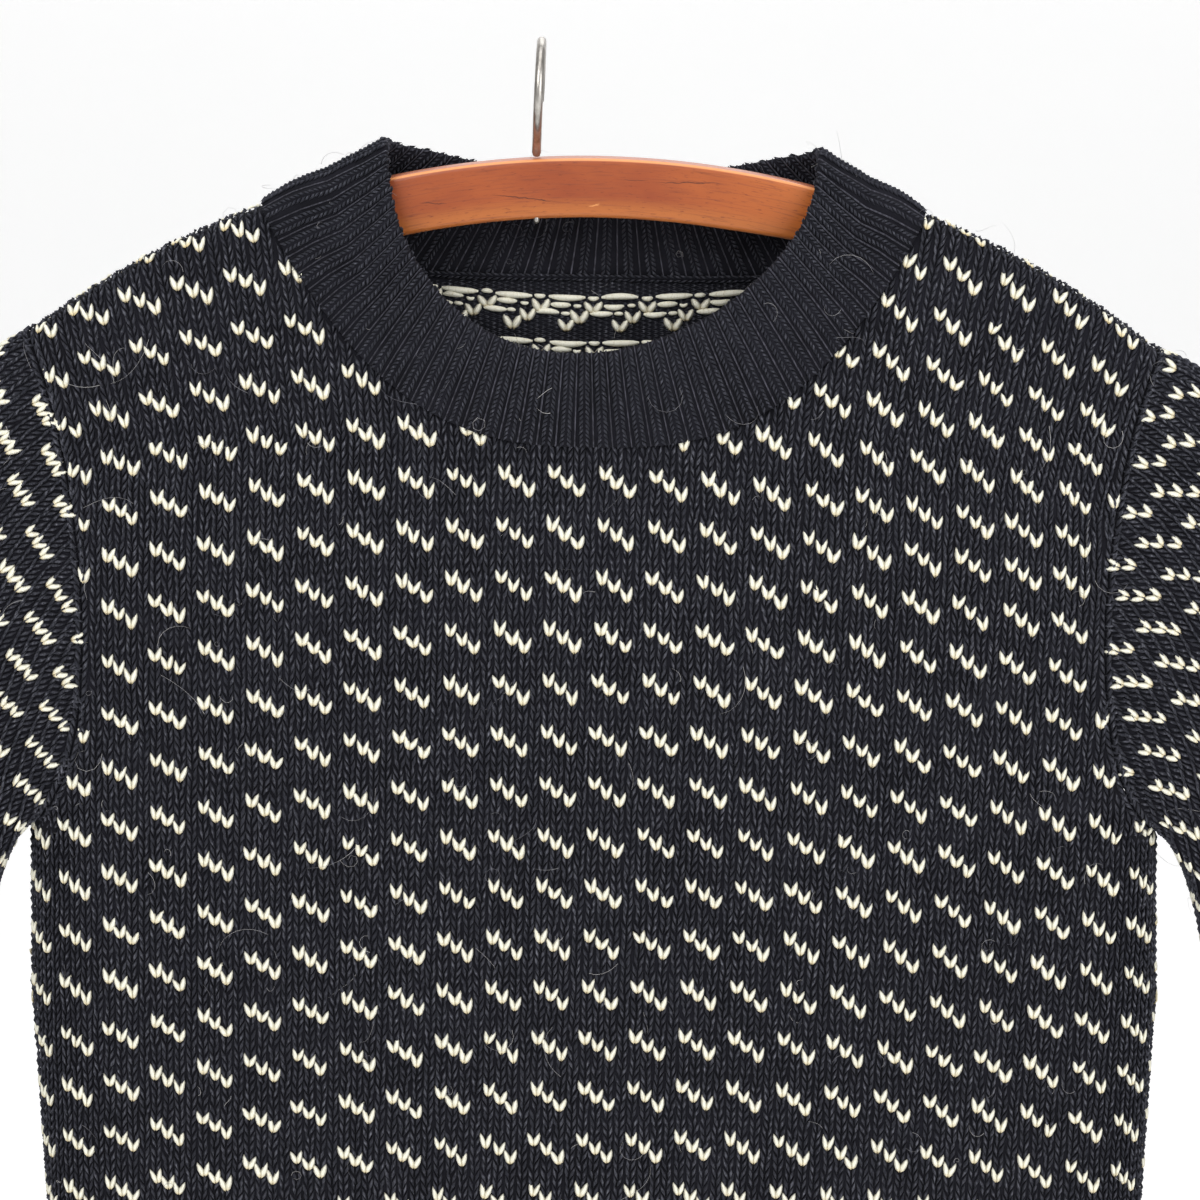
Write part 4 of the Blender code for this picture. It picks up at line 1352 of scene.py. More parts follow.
class SWEATER_OT_inside(bpy.types.Operator):
    """Lay the floats and purl loops inside the back of the neck"""

    bl_idname = "sweater.inside"
    bl_label = "Inside of the Back"

    def execute(self, context):
        knit = context.scene.sweater_knit
        routes, sizes, vees = [], [], []
        rng = np.random.default_rng(knit.seed)
        share = np.linspace(0, 1, FLOAT_POINTS)
        bow = np.sin(math.pi * share)
        lift = FLOAT_END_LIFT + (1 - FLOAT_END_LIFT) * bow
        swell = FLOAT_END_SIZE + (1 - FLOAT_END_SIZE) * np.sqrt(bow)
        for repeat_down in REPEATS_DOWN:
            for repeat in REPEATS_ACROSS:
                left = FLOATS_START_X + repeat * FLOAT_REPEAT - NECK_X
                top = FLOATS_TOP_Z - repeat_down * FLOAT_REPEAT_DROP
                for lie in INSIDE_FLOATS:
                    x = left + lie.start + lie.length * share + rng.normal(0, FLOAT_STRAY)
                    z = self.sagging(top - lie.drop, x) + rng.normal(0, FLOAT_STRAY)
                    z = z - rng.normal(0.0, FLOAT_SLACK) * bow
                    point, facing = back_inside(x, z)
                    routes.append(point + facing * (lie.radius * lift[:, None]))
                    sizes.append(lie.radius * swell)
                for lie in INSIDE_STITCHES:
                    x = left + lie.across + rng.normal(0, FLOAT_STRAY)
                    vees.append((x, self.sagging(top - lie.drop, x)))
        keep = [i for i, route in enumerate(routes) if self.is_inside(route)]
        floats = strands(
            "inside_floats", [routes[i] for i in keep], [sizes[i] for i in keep],
            FLOAT_SIDES, cream_wool(),
        )
        # The floats lie open to the light, so they take no shade as the edge of a stitch does
        add_attribute(floats, "crest", "FLOAT", [1.0] * len(floats.data.vertices))
        dressed(floats, cream_wool())
        x, z = np.array(vees).T
        point, facing = back_inside(x, z)
        inside = [self.is_inside(place[None]) for place in point]
        risings = np.tile((0.0, 0.0, 1.0), (len(point), 1))
        stitches = knitted(
            "inside_cream_stitches", (point[inside], facing[inside], risings[inside]),
            stitch_sample(CREAM_SAMPLE), cream_wool(), INSIDE_V_WIDTH, INSIDE_V_LENGTH,
        )
        dressed(stitches, cream_wool())
        self.purl_loops(knit)
        return {"FINISHED"}

    @staticmethod
    def sagging(height, x):
        return height + FLOATS_SAG * (x - FLOATS_MIDDLE_X) ** 2

    @staticmethod
    def is_inside(route):
        return bool(np.all(route[:, 2] < neck_height(BACK, route[:, 0] - NECK_X) - FLOAT_MARGIN))

    @staticmethod
    def purl_loops(knit):
        wales = np.arange(*PURL_WALES) * knit.stitch_width / 2
        rows = PURL_TOP_Z - np.arange(PURL_ROWS) * knit.row_height / 2
        x, z = [grid.ravel() for grid in np.meshgrid(wales, rows)]
        z = z + PURL_STAGGER * (np.round(x / knit.stitch_width * 2) % 2)
        keep = z < neck_height(BACK, x) - PURL_MARGIN
        point, facing = back_inside(x[keep], z[keep])
        risings = np.tile((1.0, 0.0, 0.0), (len(point), 1))
        loops = knitted(
            "inside_purl_loops", (point, facing, risings), stitch_sample(NAVY_SAMPLE),
            navy_wool(), PURL_WIDTH, PURL_LENGTH,
        )
        dressed(loops, navy_wool())


# Ribbed bands


def rib_bump(phase):
    """Height of a rib across its pitch, 0 in the valley to 1 on the crest."""
    return smooth(1 - np.abs(phase - 0.5) / RIB_HALF_WIDTH)


def even_loop(points, facings, samples):
    """A closed seam resampled at even spacing, with the way it faces."""
    lengths = lengths_along(closed(points))
    wanted = lengths[-1] * np.arange(samples) / samples
    facing = resampled(closed(facings), lengths, wanted)
    return resampled(closed(points), lengths, wanted), unit(facing)


def joined_loop(front, back, front_normals, back_normals):
    """One closed loop from a front and a back edge that meet at both ends."""
    ends = (front[0] + back[-1]) / 2, (front[-1] + back[0]) / 2
    points = np.array([ends[0], *front[1:-1], ends[1], *back[1:-1]])
    facings = np.array([*front_normals, *back_normals[1:-1]])
    return points, facings


def ribbed_rings(grid, normals, band):
    """Rings round a band's section: up its outside, over its edge and down its inside.

    The edge is shared out between the two faces that the rings come with, and their facings.
    """
    phase = (np.arange(grid.shape[1]) % RIB_SAMPLES) / RIB_SAMPLES
    rib = rib_bump(phase)[:, None]
    outside = grid + normals * (band.thick + RIB_HEIGHT * rib - BASE_DROP / 2)
    inside = grid + normals * (band.inside_rib * (1 - rib))
    upward = unit(grid[-1] - grid[-2])
    middle = (outside[-1] + inside[-1]) / 2
    half = (outside[-1] - inside[-1]) / 2
    radius = np.linalg.norm(half, axis=1, keepdims=True)
    pulled = upward * radius * EDGE_ROUND
    edge, edge_facings = [], []
    for turn in np.linspace(0, math.pi, EDGE_TURNS)[1:-1]:
        edge.append(middle + half * math.cos(turn) + pulled * (math.sin(turn) - 1))
        edge_facings.append(unit(half / radius * math.cos(turn) + upward * math.sin(turn)))
    outside[-1] -= pulled
    inside[-1] -= pulled
    edge, edge_facings = np.array(edge), np.array(edge_facings)
    rings = np.concatenate([outside, edge, inside[::-1]])
    near = len(edge) // 2
    outer = (
        np.concatenate([outside, edge[:near]]), np.concatenate([normals, edge_facings[:near]])
    )
    inner = (
        np.concatenate([inside, edge[:near - 1:-1]]),
        np.concatenate([-normals, edge_facings[:near - 1:-1]]),
    )
    return rings, outer, inner


def rib_stitches(surface, normals, row_height):
    """Places of the small V's down each crest of a band."""
    points, facings, risings = [], [], []
    for crest in range(RIB_SAMPLES // 2, surface.shape[1], RIB_SAMPLES):
        line, facing = surface[:, crest], normals[:, crest]
        lengths = lengths_along(line)
        last = lengths[-1] - row_height * RIB_LAST_ROW
        wanted = np.arange(row_height * RIB_FIRST_ROW, last, row_height)
        points.append(resampled(line, lengths, wanted))
        facings.append(unit(resampled(facing, lengths, wanted)))
        risings.append(-unit(resampled(np.gradient(line, axis=0), lengths, wanted)))
    return [np.concatenate(part) for part in (points, facings, risings)]


def knit_band(name, grid, normals, band, row_height):
    """A ribbed band: its ground, the V's on its crests and the straight yarn in its valleys."""
    rings, outer, inner = ribbed_rings(grid, normals, band)
    # The ground has no crest, so it takes the rib yarn's painted shade in the valleys.
    ground = dressed(ring_object(name + "_ground", rings), rib_wool())
    pieces = []
    sides = [("outside", *outer)]
    if band.both_sides:
        sides.append(("inside", *inner))
    for label, surface, facing in sides:
        points, facings, risings = rib_stitches(surface, facing, row_height)
        risings = wobble(risings, facings, RIB_TURN, len(points))
        stitches = knitted(
            f"{name}_{label}_stitches", (points - facings * RIB_STITCH_SINK, facings, risings),
            stitch_sample(NAVY_SAMPLE), rib_wool(),
            band.stitch_width, band.stitch_width * RIB_STITCH_LENGTH,
        )
        pieces.append(dressed(stitches, rib_wool()))
        valleys = (surface + facing * VALLEY_YARN_RISE)[:, ::RIB_SAMPLES]
        routes = list(valleys.transpose(1, 0, 2))
        lines = strands(
            f"{name}_{label}_lines", routes, [VALLEY_YARN_RADIUS] * len(routes),
            VALLEY_YARN_SIDES, valley_yarn(),
        )
        pieces.append(dressed(lines, valley_yarn()))
    return ground, pieces


def collar_edge(angle):
    across, forward = math.sin(angle), math.cos(angle)
    x = COLLAR_MIDDLE_X + COLLAR_HALF_WIDTH * across
    z = COLLAR_PEAK_Z + COLLAR_PEAK_TILT * across
    if forward > 0:
        z -= COLLAR_FRONT_DROP * forward * (1 - COLLAR_FRONT_SKEW * across)
        return (x, COLLAR_FRONT_Y * math.sqrt(forward), z)
    z -= COLLAR_BACK_DROP * (-forward) ** COLLAR_BACK_POWER
    return (x, COLLAR_BACK_Y * math.sqrt(-forward), z)


def spread_along(curve, start, end, count):
    """Evenly spaced points along a curve, up to its end but without it."""
    samples = np.array([curve(place) for place in np.linspace(start, end, CURVE_SAMPLES)])
    lengths = lengths_along(samples)
    return resampled(samples, lengths, lengths[-1] * np.arange(count) / count)


def neck_edge(face, samples):
    """Inner edge of a panel round the neck, from left to right, and the way it faces."""
    half = neck_places(face, samples)
    places = np.concatenate([-half[:0:-1], half])
    x, z = neck_seam(face, places)
    y = face.sign * np.maximum(half_depth(face, x, z), SEAM_GAP / 2)
    normals = face_normal(face, x, z)
    normals[[0, -1]] = ridge_normal(x, z)[[0, -1]]
    points = np.stack([x + NECK_X, y, z], axis=-1)
    return points - normals * WALL, normals


def along_loop(points, axis=0):
    """The way along a closed loop at each of its points, evened over its neighbours."""
    return np.roll(points, -LOOP_SPAN, axis=axis) - np.roll(points, LOOP_SPAN, axis=axis)


def grid_normals(grid, first):
    """Normals of a tube, which start as the given ones at its seam and turn to its own."""
    normals = unit(np.cross(along_loop(grid, axis=1), np.gradient(grid, axis=0)))
    normals = normals * np.sign((normals[0] * first).sum(axis=-1).mean())
    for row, keep in enumerate(SEAM_KEEP):
        normals[row] = unit(first * keep + normals[row] * (1 - keep))
    return normals


class SWEATER_OT_collar(bpy.types.Operator):
    """Knit the doubled, ribbed collar"""

    bl_idname = "sweater.collar"
    bl_label = "Collar"

    def execute(self, context):
        knit = context.scene.sweater_knit
        front, front_facing = neck_edge(FRONT, FRONT.ribs * RIB_SAMPLES)
        back, back_facing = neck_edge(BACK, BACK.ribs * RIB_SAMPLES)
        seam, facing = joined_loop(front, back[::-1], front_facing, back_facing[::-1])
        turn = math.pi / 2
        edge = np.concatenate([
            spread_along(collar_edge, -turn, turn, len(front) - 1),
            spread_along(collar_edge, turn, 3 * turn, len(back) - 1),
        ])
        away = unit(np.cross(facing, along_loop(seam)))
        away = away * np.sign((away * (edge - seam)).sum(axis=1, keepdims=True))
        seam = seam + away * SEAM_GAP
        linked = self.link_seam(seam - away * SEAM_GAP / 2, facing)
        shares = np.linspace(0.0, 1.0, COLLAR_ROWS)
        grid = np.array([seam + (edge - seam) * share for share in shares])
        normals = grid_normals(grid, facing)
        grid = grid + normals * (COLLAR_ROLL * np.sin(np.pi * shares))[:, None, None]
        aside = np.abs(edge[:, 0] - COLLAR_MIDDLE_X) / COLLAR_HALF_WIDTH
        aside = smooth((aside - COLLAR_SLUMP_START) / (1 - COLLAR_SLUMP_START))
        sink = looked_up(shares, COLLAR_SLUMP, "share", "sink")
        grid[:, :, 2] -= sink[:, None] * aside
        ground, pieces = knit_band("collar", grid, normals, COLLAR_BAND, knit.rib_row_height)
        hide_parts("collar")
        return {"FINISHED"}

    @staticmethod
    def link_seam(seam, facing):
        """The rolled seam inside the neck, where the band is linked to the panels."""
        route = closed(seam - facing * LINK_SINK)[::LINK_ROUTE_STEP]
        # The roll has no crest, so it takes the rib yarn's painted shade all over.
        roll = strands("collar_seam_roll", [route], [LINK_RADIUS], LINK_SIDES, rib_wool())
        points, facings = even_loop(seam, -facing, int(length_around(seam) / LINK_PITCH))
        risings = np.roll(points, -1, axis=0) - np.roll(points, 1, axis=0)
        risings = wobble(risings, facings, LINK_TURN, len(points))
        chain = knitted(
            "collar_seam_stitches", (points + facings * LINK_RADIUS, facings, risings),
            stitch_sample(NAVY_SAMPLE), rib_wool(), LINK_WIDTH, LINK_LENGTH,
        )
        return [dressed(made, rib_wool()) for made in (roll, chain)]


class SWEATER_OT_hem(bpy.types.Operator):
    """Knit the ribbed hem"""

    bl_idname = "sweater.hem"
    bl_label = "Hem"

    def execute(self, context):
        knit = context.scene.sweater_knit
        edges = []
        for face in (FRONT, BACK):
            points, normals = panel_grid(face)
            edges.append(((points - normals * WALL)[-1], normals[-1]))
        loop, facing = joined_loop(
            edges[0][0], edges[1][0][::-1], edges[0][1], edges[1][1][::-1]
        )
        ribs = round(length_around(loop) / HEM_RIB_PITCH)
        seam, facing = even_loop(loop, facing, ribs * RIB_SAMPLES)
        middle = np.array([NECK_X, 0.0, HEM_SEAM_Z])
        rows = []
        for share in np.linspace(0.0, 1.0, BAND_ROWS):
            row = middle + (seam - middle) * (1 - (1 - HEM_TAPER) * math.sin(math.pi / 2 * share))
            row[:, 2] = HEM_SEAM_Z - SEAM_GAP - (HEM_RIB_LENGTH - SEAM_GAP) * share
            rows.append(row)
        normals = np.array([facing] * len(rows))
        ground, pieces = knit_band("hem", np.array(rows), normals, HEM_BAND, knit.edge_row_height)
        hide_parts("hem_rib")
        return {"FINISHED"}


# Sleeves


def armhole_loop(side, front, back):
    """The armhole's seam, down the front and up the back, and the way that it faces."""
    column = -1 if side > 0 else 0
    down = slice(0, UNDERARM_ROW + 1)
    points = [grid[down, column] for grid, normals in (front, back)]
    facings = [normals[down, column] for grid, normals in (front, back)]
    along = np.gradient(points[0], axis=0)
    outward = unit(np.stack([-along[:, 2], 0 * along[:, 1], side * along[:, 0]], axis=1) * side)
    outward[-1] = (side, 0.0, 0.0)
    points = [half + outward * SEAM_GAP for half in points]
    return joined_loop(points[0], points[1][::-1], facings[0], facings[1][::-1])


def armhole_chain(name, loop, facings, knit):
    """A chain of navy stitches up the armhole seam, where the knit of two pieces is joined."""
    points, facings = even_loop(loop, facings, int(length_around(loop) / knit.row_height))
    risings = np.roll(points, 1, axis=0) - np.roll(points, -1, axis=0)
    # The V's stand upright on both halves of the loop
    risings = risings * np.sign(risings[:, 2:] + 1e-6)
    risings = wobble(risings, facings, CHAIN_TURN, len(points))
    chain = knitted(
        name, (points - facings * BASE_DROP, facings, risings),
        stitch_sample(NAVY_SAMPLE), navy_wool(), CHAIN_WIDTH, knit.stitch_length,
    )
    return dressed(chain, navy_wool())


def sleeve_grid(side, loop):
    """Rings from the armhole down to the cuff seam."""
    top, bottom = loop[0], loop[UNDERARM_ROW]
    half_height = (top - bottom)[2] / 2
    turn = np.arccos(np.clip((loop[:, 2] - (top + bottom)[2] / 2) / half_height, -1, 1))
    turn[UNDERARM_ROW + 1:] *= -1
    depths = np.array(SLEEVE_HALF_DEPTH)

    def ring(share):
        ends = []
        for start, handles in ((top, SLEEVE_OUTER), (bottom, SLEEVE_INNER)):
            places = [(side * x + NECK_X, z) for x, z in handles]
            ends.append(bezier([(start[0], start[2]), *places], share))
        outer, inner = ends
        depth = np.interp(share, np.linspace(0, 1, len(depths)), depths)
        middle, half = (outer + inner) / 2, (outer - inner) / 2
        points = np.zeros_like(loop)
        points[:, 0] = middle[0] + half[0] * np.cos(turn)
        points[:, 2] = middle[1] + half[1] * np.cos(turn)
        points[:, 1] = -depth * np.sign(turn) * np.abs(np.sin(turn)) ** SLEEVE_SECTION_POWER
        return points

    left_over = loop - ring(0.0)
    rings = []
    for step in np.linspace(0, SLEEVE_RINGS, SLEEVE_STEPS + 1):
        keep = max(0.0, 1 - step / SLEEVE_TURN) ** 2
        rings.append(ring((step / SLEEVE_RINGS) ** SLEEVE_RING_POWER) + left_over * keep)
    return np.array(rings)


def crease_sleeve(grid, normals, side):
    """Presses the soft creases into a sleeve, on its front and on its back."""
    up = lengths_along(grid[::-1])[::-1]
    middle = (grid[:, :1] + grid[:, UNDERARM_ROW:UNDERARM_ROW + 1]) / 2
    across = (grid[:, :, 0] - middle[:, :, 0]) * side
    half = np.abs(grid[:, :1, 0] - middle[:, :, 0])
    fade = smooth((1 - np.abs(across) / np.maximum(half, 1e-6)) * FOLD_FADE)
    fade = fade * smooth(np.linspace(0, 1, len(grid)) * CAP_FADE)[:, None]
    shift = np.where(grid[:, :, 1] < 0, 0.0, BACK_CREASE_SHIFT)
    depth = crease_depth(SLEEVE_CREASES, across, up + shift)
    return grid - normals * (depth * fade)[:, :, None]


def half_course(packed, up, line, height, stitch_width):
    """The stitches of a course from a sleeve's outer fold along one half, up to the armhole."""
    reached = [column for column in line if up[-1, column] > height + SEAM_MARGIN]
    if len(reached) < 2 or reached[0] != 0:
        return packed[0, :0]
    places = [resampled(packed[:, column], up[:, column], [height])[0] for column in reached]
    margin = 0.0
    if len(reached) < len(line):
        last, beyond = reached[-1], line[len(reached)]
        share = (up[-1, last] - height) / (up[-1, last] - up[-1, beyond])
        places.append(packed[-1, last] * (1 - share) + packed[-1, beyond] * share)
        margin = SEAM_MARGIN
    places = np.array(places)
    lengths = lengths_along(places[:, :3])
    count = int((lengths[-1] - margin) / stitch_width + 0.5)
    return resampled(places, lengths, (np.arange(count) + 0.5) * stitch_width)


def sleeve_stitches(grid, normals, side, knit):
    """Stitches in courses that lie level with the cuff, and wales that follow the outer fold."""
    columns = grid.shape[1]
    up = lengths_along(grid[::-1])
    rising = unit(np.gradient(grid[::-1], axis=0))
    packed = np.concatenate([grid[::-1], normals[::-1], rising], axis=2)
    halves = (
        list(range(0, UNDERARM_ROW + 1)),
        [0] + list(range(columns - 1, UNDERARM_ROW - 1, -1)),
    )
    found = []
    for course in range(int(up[-1].max() / knit.row_height)):
        height = (course + FIRST_SLEEVE_ROW) * knit.row_height
        for half, line in enumerate(halves):
            stitches = half_course(packed, up, line, height, knit.stitch_width)
            wales = np.arange(len(stitches))
            if (side < 0) != (half == 0):
                wales = -1 - wales
            counts = np.stack([wales, 0 * wales - course], axis=1)
            found.append(np.concatenate([stitches, counts], axis=1))
    found = np.concatenate(found)
    points, facings, risings = found[:, :3], unit(found[:, 3:6]), found[:, 6:9]
    return points - facings * BASE_DROP, facings, risings, is_white(found[:, 9], found[:, 10])


class SWEATER_OT_sleeves(bpy.types.Operator):
    """Knit both sleeves and their cuffs"""

    bl_idname = "sweater.sleeves"
    bl_label = "Sleeves and Cuffs"

    def execute(self, context):
        knit = context.scene.sweater_knit
        front, back = panel_grid(FRONT), panel_grid(BACK)
        for side, name in ((-1, "left"), (1, "right")):
            loop, facing = armhole_loop(side, front, back)
            grid = sleeve_grid(side, loop)
            normals = grid_normals(grid, facing)
            axis = unit(np.cross(grid[-1][0] - grid[-1][UNDERARM_ROW], (0.0, 1.0, 0.0)))
            axis = axis * -np.sign(axis[2])
            normals[-1] = unit(normals[-1] - np.outer(normals[-1] @ axis, axis))
            cuff_seam = (grid - normals * WALL)[-1]
            grid = crease_sleeve(grid, normals, side)
            outer, inner = inside_base(grid, normals)
            base = wall_object(f"sleeve_{name}_ground", outer, inner, True)
            # The ground has no crest, so it is coloured all over in the navy's painted shade.
            dressed(base, navy_wool())
            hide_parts("sleeve_" + name)
            stitched = sleeve_stitches(grid, normals, side, knit)
            stitches = knit_two_colours("sleeve_" + name, stitched, knit)
            stitches.append(armhole_chain(f"sleeve_{name}_seam_stitches", loop, facing, knit))
            self.knit_cuff(knit, "cuff_" + name, cuff_seam, normals[-1], axis)
        return {"FINISHED"}

    @staticmethod
    def knit_cuff(knit, name, inner, facing, axis):
        around = length_around(inner)
        ribs = round(around / CUFF_RIB_PITCH)
        seam, facing = even_loop(inner, facing, ribs * RIB_SAMPLES)
        middle = inner.mean(axis=0)
        rows = []
        for share in np.linspace(0.0, 1.0, BAND_ROWS):
            row = middle + (seam - middle) * (1 - (1 - CUFF_TAPER) * share)
            rows.append(row + axis * (SEAM_GAP + (CUFF_LENGTH - SEAM_GAP) * share))
        normals = np.array([facing] * len(rows))
        ground, pieces = knit_band(name, np.array(rows), normals, CUFF_BAND, knit.edge_row_height)
        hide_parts(name)


# Loose fibres

FIBRE_STEPS = 7
FIBRE_SIDES = 3
FIBRE_SCATTER = 0.002
# The shortest fibres as a share of the longest, and how rare the long ones are
SHORTEST_FIBRE, LONG_FIBRE_RARITY = 0.18, 2.2
# Spread of the turns that a fibre makes in all, steady and gathering, in radians
FIBRE_CURL, FIBRE_SPIN = 2.4, 1.6
FIBRE_LIFT, FIBRE_ARCH = 0.0010, 0.0022
FIBRE_ARCH_SPANS = (0.6, 1.3)
FIBRE_ROOT, FIBRE_THINNING = 1.1, 0.6
# How the fibres are shared out over the pieces
FIBRE_SHARES = {
    "front": 0.42, "back": 0.24, "sleeve_left": 0.11, "sleeve_right": 0.11, "collar": 0.12,
}


def fibre_routes(anchors, facings, rng, settings):
    """Routes and thicknesses of fibres that curl over the cloth from their anchors."""
    share = np.linspace(0, 1, FIBRE_STEPS + 1)
    routes = []
    for anchor, facing in zip(anchors, facings):
        long = rng.random() ** LONG_FIBRE_RARITY
        length = settings.length * (SHORTEST_FIBRE + (1 - SHORTEST_FIBRE) * long)
        heading = rng.normal(size=3)
        heading = unit(heading - facing * (heading @ facing))
        side = np.cross(facing, heading)
        curl = rng.normal(0.0, FIBRE_CURL)
        spin = rng.normal(0.0, FIBRE_SPIN)
        angle = curl * share + spin * share**2
        steps = np.stack([np.cos(angle), np.sin(angle)], axis=1) * length / FIBRE_STEPS
        plane = np.cumsum(steps, axis=0)
        arch = np.sin(math.pi * share * rng.uniform(*FIBRE_ARCH_SPANS)) * rng.random()
        lift = FIBRE_LIFT + FIBRE_ARCH * arch
        route = anchor + plane[:, :1] * heading + plane[:, 1:] * side + facing * lift[:, None]
        routes.append(route)
    thickness = settings.thickness * (FIBRE_ROOT - FIBRE_THINNING * share)
    return routes, [thickness] * len(routes)


class SWEATER_OT_fibres(bpy.types.Operator):
    """Scatter the loose, curling fibres that wool sheds"""

    bl_idname = "sweater.fibres"
    bl_label = "Loose Fibres"

    def execute(self, context):
        settings = context.scene.sweater_fibres
        rng = np.random.default_rng(context.scene.sweater_knit.seed)
        for name, share in FIBRE_SHARES.items():
            mesh = bpy.data.objects[name + "_ground"].data
            count = int(settings.count * share)
            areas = np.array([polygon.area for polygon in mesh.polygons])
            chosen = rng.choice(len(areas), size=count, p=areas / areas.sum())
            anchors, facings = [], []
            for index in chosen:
                polygon = mesh.polygons[index]
                anchors.append(np.array(polygon.center) + rng.normal(0, FIBRE_SCATTER, 3))
                facings.append(np.array(polygon.normal))
            routes, sizes = fibre_routes(anchors, facings, rng, settings)
            made = strands(name + "_fibres", routes, sizes, FIBRE_SIDES, loose_fibre())
            dressed(made, loose_fibre())
        return {"FINISHED"}


# Hanger


def bar_outline(height, size):
    """The bar's section, distance down from its top and y, with softened corners."""
    outline = []
    corners = ((1, 1, 90.0), (1, -1, 0.0), (-1, -1, 270.0), (-1, 1, 180.0))
    for y_side, z_side, start in corners:
        for turn in np.linspace(0, 90, BAR_CORNER_STEPS + 1):
            angle = math.radians(start - turn)
            y = y_side * (BAR_HALF_THICK - BAR_CORNER) + BAR_CORNER * math.cos(angle)
            up = -BAR_CORNER if z_side > 0 else BAR_CORNER - height
            up = up + BAR_CORNER * math.sin(angle)
            outline.append(((up + height / 2) * size - height / 2, y * size))
    return outline


class SWEATER_OT_bar(bpy.types.Operator):
    """Turn the hanger's bar into varnished wood"""

    bl_idname = "sweater.bar"
    bl_label = "Hanger Bar"

    def execute(self, context):
        places = [end.place for end in BAR_ENDS]
        along = np.concatenate([np.linspace(0, places[1], BAR_STEPS + 1), places[2:]])
        along = np.concatenate([-along[:0:-1], along])
        middle = np.array([BAR_TOP_X, 0.0, BAR_TOP_Z - BAR_RADIUS])
        rings, marks = [], []
        for place in along:
            angle = BAR_TILT + BAR_HALF_ANGLE * place
            taper = smooth((abs(place) - BAR_TAPER_START) / (1 - BAR_TAPER_START))
            height = BAR_HEIGHT + (BAR_END_HEIGHT - BAR_HEIGHT) * taper
            size = looked_up(abs(place), BAR_ENDS, "place", "size")
            outline = bar_outline(height, size)
            out = np.array([math.sin(angle), 0.0, math.cos(angle)])
            rings.append([middle + out * (BAR_RADIUS + up) + (0.0, y, 0.0) for up, y in outline])
            marks.append([
                (BAR_RADIUS * angle, up + BAR_HEIGHT + y * GRAIN_DEPTH_SHIFT) for up, y in outline
            ])
        rings = np.array(rings)
        rows, columns = rings.shape[:2]
        faces = grid_faces(rows, columns, True)
        faces += [list(range(columns)), list(range((rows - 1) * columns, rows * columns))]
        made = plain_object("hanger_bar_wood", rings, faces)
        point_outwards(made)
        layer = made.data.uv_layers.new(name="along_bar")
        flat = np.array(marks).reshape(-1, 2)
        corners = np.array([loop.vertex_index for loop in made.data.loops])
        layer.data.foreach_set("uv", flat[corners].astype(np.float32).ravel())
        dressed(made, varnished_beech())
        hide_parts("hanger_bar")
        return {"FINISHED"}


class SWEATER_OT_hook(bpy.types.Operator):
    """Bend the steel wire hook"""

    bl_idname = "sweater.hook"
    bl_label = "Hook"

    def execute(self, context):
        radius = CROOK_INSIDE + WIRE_RADIUS
        places = list(HOOK_SHANK)
        for turn in range(CROOK_START, CROOK_END - 1, -CROOK_STEP):
            angle = math.radians(turn)
            places.append((radius * math.cos(angle), radius * math.sin(angle) - CROOK_INSIDE))
        rough = np.array([(HOOK_LEAN * z, y, z) for y, z in places])
        lengths = lengths_along(rough)
        even = np.linspace(0, lengths[-1], HOOK_ROUTE_POINTS)
        route = resampled(rough, lengths, even)
        for _ in range(HOOK_SOFTENING):
            route[1:-1] = route[1:-1] * 0.5 + (route[2:] + route[:-2]) * 0.25
        ends = np.minimum(even, even[-1] - even)
        full = WIRE_END_SIZE + (1 - WIRE_END_SIZE) * rounded(ends, WIRE_END_ROUND)
        made = strands("hook_wire", [route], [WIRE_RADIUS * full], HOOK_SIDES, drawn_steel())
        dressed(made, drawn_steel())
        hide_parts("hook")
        self.build_rivet()
        return {"FINISHED"}

    @staticmethod
    def build_rivet():
        """The end of the wire shows as a small riveted head under the bar."""
        x = HOOK_LEAN * HOOK_BASE_Z
        foot = HOOK_BASE_Z - BAR_HEIGHT
        route = np.array([(x, RIVET_Y, foot + ring.height) for ring in RIVET])
        sizes = np.array([ring.radius for ring in RIVET])
        made = strands("hook_rivet", [route], [sizes], RIVET_SIDES, drawn_steel())
        dressed(made, drawn_steel())


# Stage

Lamp = namedtuple("Lamp", "name place size power")
LAMPS = (
    Lamp("key_softbox", (-0.9, -1.5, 0.9), 1.1, 18.0),
    Lamp("fill_softbox", (1.1, -1.4, 0.3), 1.3, 15.0),
    Lamp("top_softbox", (0.0, -0.3, 1.3), 1.2, 9.0),
    Lamp("back_softbox", (0.2, 1.1, 1.0), 1.0, 6.0),
)
LAMPS_AIM = Vector((0.02, 0.0, -0.28))
WORLD_STRENGTH = 0.38
CAMERA_AIM = Vector((0.0236, 0.0, -0.2303))
LENS_MM, SENSOR_MM = 100.0, 36.0
SWEEP_HALF_WIDTH = 5.0
SWEEP_FRONT_Y, SWEEP_BACK_Y = -5.0, 4.2
SWEEP_FLOOR_Z, SWEEP_TOP_Z = -1.05, 5.0
SWEEP_BEND = 1.2
SWEEP_BEND_STEPS = 12


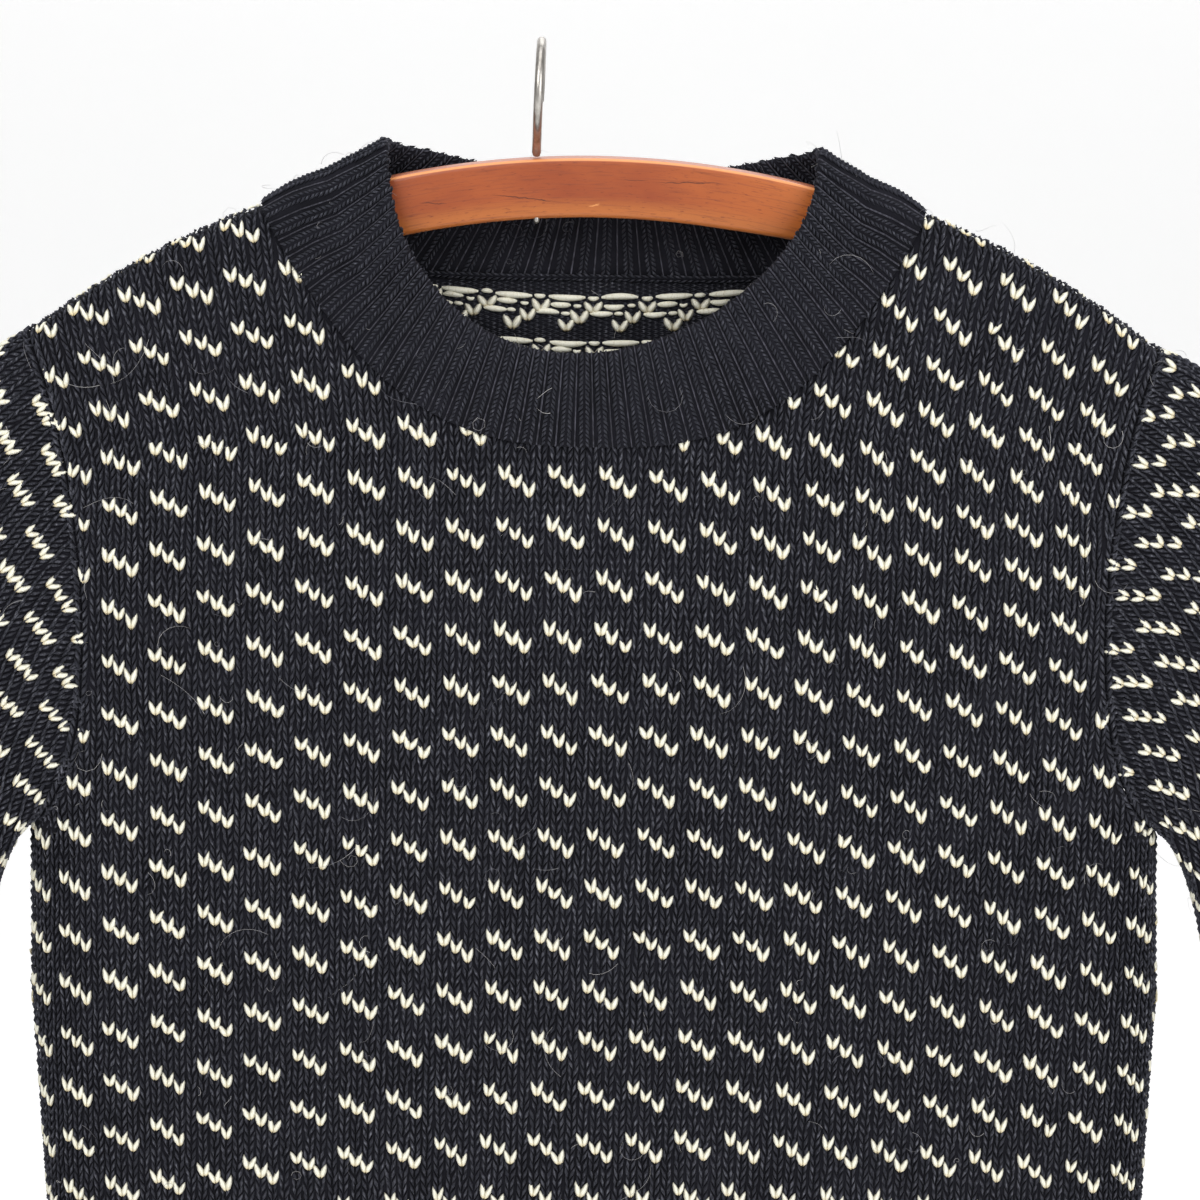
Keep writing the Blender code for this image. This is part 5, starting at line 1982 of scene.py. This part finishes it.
class SWEATER_OT_stage(bpy.types.Operator):
    """Set the paper sweep, the soft lights and the camera"""

    bl_idname = "sweater.stage"
    bl_label = "Stage"

    def execute(self, context):
        stage = context.scene.sweater_stage
        self.build_sweep()
        self.build_camera(context, stage)
        for lamp in LAMPS:
            data = bpy.data.lights.new(lamp.name, "AREA")
            data.size = lamp.size
            data.energy = lamp.power
            made = bpy.data.objects.new(lamp.name, data)
            made.location = lamp.place
            aim = LAMPS_AIM - Vector(lamp.place)
            made.rotation_euler = aim.to_track_quat("-Z", "Y").to_euler()
            context.scene.collection.objects.link(made)
        world = bpy.data.worlds.new("studio")
        world.use_nodes = True
        background = world.node_tree.nodes["Background"]
        background.inputs["Color"].default_value = (1.0, 1.0, 1.0, 1.0)
        background.inputs["Strength"].default_value = WORLD_STRENGTH
        context.scene.world = world
        context.scene.view_settings.view_transform = "Standard"
        context.scene.view_settings.look = "None"
        return {"FINISHED"}

    @staticmethod
    def build_sweep():
        bend_y, bend_z = SWEEP_BACK_Y - SWEEP_BEND, SWEEP_FLOOR_Z + SWEEP_BEND
        profile = [(SWEEP_FRONT_Y, SWEEP_FLOOR_Z)]
        for angle in np.linspace(0, math.pi / 2, SWEEP_BEND_STEPS + 1):
            profile.append((
                bend_y + SWEEP_BEND * math.sin(angle), bend_z - SWEEP_BEND * math.cos(angle)
            ))
        profile.append((SWEEP_BACK_Y, SWEEP_TOP_Z))
        sides = (-SWEEP_HALF_WIDTH, SWEEP_HALF_WIDTH)
        rows = np.array([[(x, y, z) for x in sides] for y, z in profile])
        made = plain_object("paper_sweep", rows, grid_faces(len(profile), 2, False))
        made.data.shade_smooth()
        made.data.materials.append(backdrop_paper())

    @staticmethod
    def build_camera(context, stage):
        data = bpy.data.cameras.new("camera")
        data.lens = LENS_MM
        data.sensor_width = SENSOR_MM
        camera = bpy.data.objects.new("camera", data)
        back = Vector((0.0, -math.cos(stage.camera_elevation), math.sin(stage.camera_elevation)))
        camera.location = CAMERA_AIM + back * stage.camera_distance
        camera.rotation_euler = (math.pi / 2 - stage.camera_elevation, 0.0, 0.0)
        context.scene.collection.objects.link(camera)
        context.scene.camera = camera


class SWEATER_PT_panel(bpy.types.Panel):
    bl_label = "Birdseye Sweater"
    bl_space_type = "VIEW_3D"
    bl_region_type = "UI"
    bl_category = "Sweater"

    def draw(self, context):
        for group in SETTINGS:
            settings = getattr(context.scene, group)
            for name in settings.__annotations__:
                self.layout.prop(settings, name)
        for operator in OPERATORS:
            self.layout.operator(operator.bl_idname)


SETTINGS = {
    "sweater_knit": KnitSettings,
    "sweater_fibres": FibreSettings,
    "sweater_hanger": HangerSettings,
    "sweater_stage": StageSettings,
}
OPERATORS = (
    SWEATER_OT_panels, SWEATER_OT_sleeves, SWEATER_OT_collar, SWEATER_OT_hem,
    SWEATER_OT_inside, SWEATER_OT_fibres, SWEATER_OT_bar, SWEATER_OT_hook, SWEATER_OT_stage,
)


def register():
    for made in (*SETTINGS.values(), *OPERATORS, SWEATER_PT_panel):
        bpy.utils.register_class(made)
    for name, group in SETTINGS.items():
        setattr(bpy.types.Scene, name, bpy.props.PointerProperty(type=group))


def unregister():
    for name in SETTINGS:
        delattr(bpy.types.Scene, name)
    for made in (SWEATER_PT_panel, *reversed(OPERATORS), *SETTINGS.values()):
        bpy.utils.unregister_class(made)


def remove_samples():
    for name in SAMPLE_LEGS:
        sample = bpy.data.objects.get(name)
        if sample:
            bpy.data.objects.remove(sample, do_unlink=True)


def main():
    register()
    for operator in OPERATORS:
        group, name = operator.bl_idname.split(".")
        getattr(getattr(bpy.ops, group), name)()
    remove_samples()


if __name__ == "__main__":
    main()
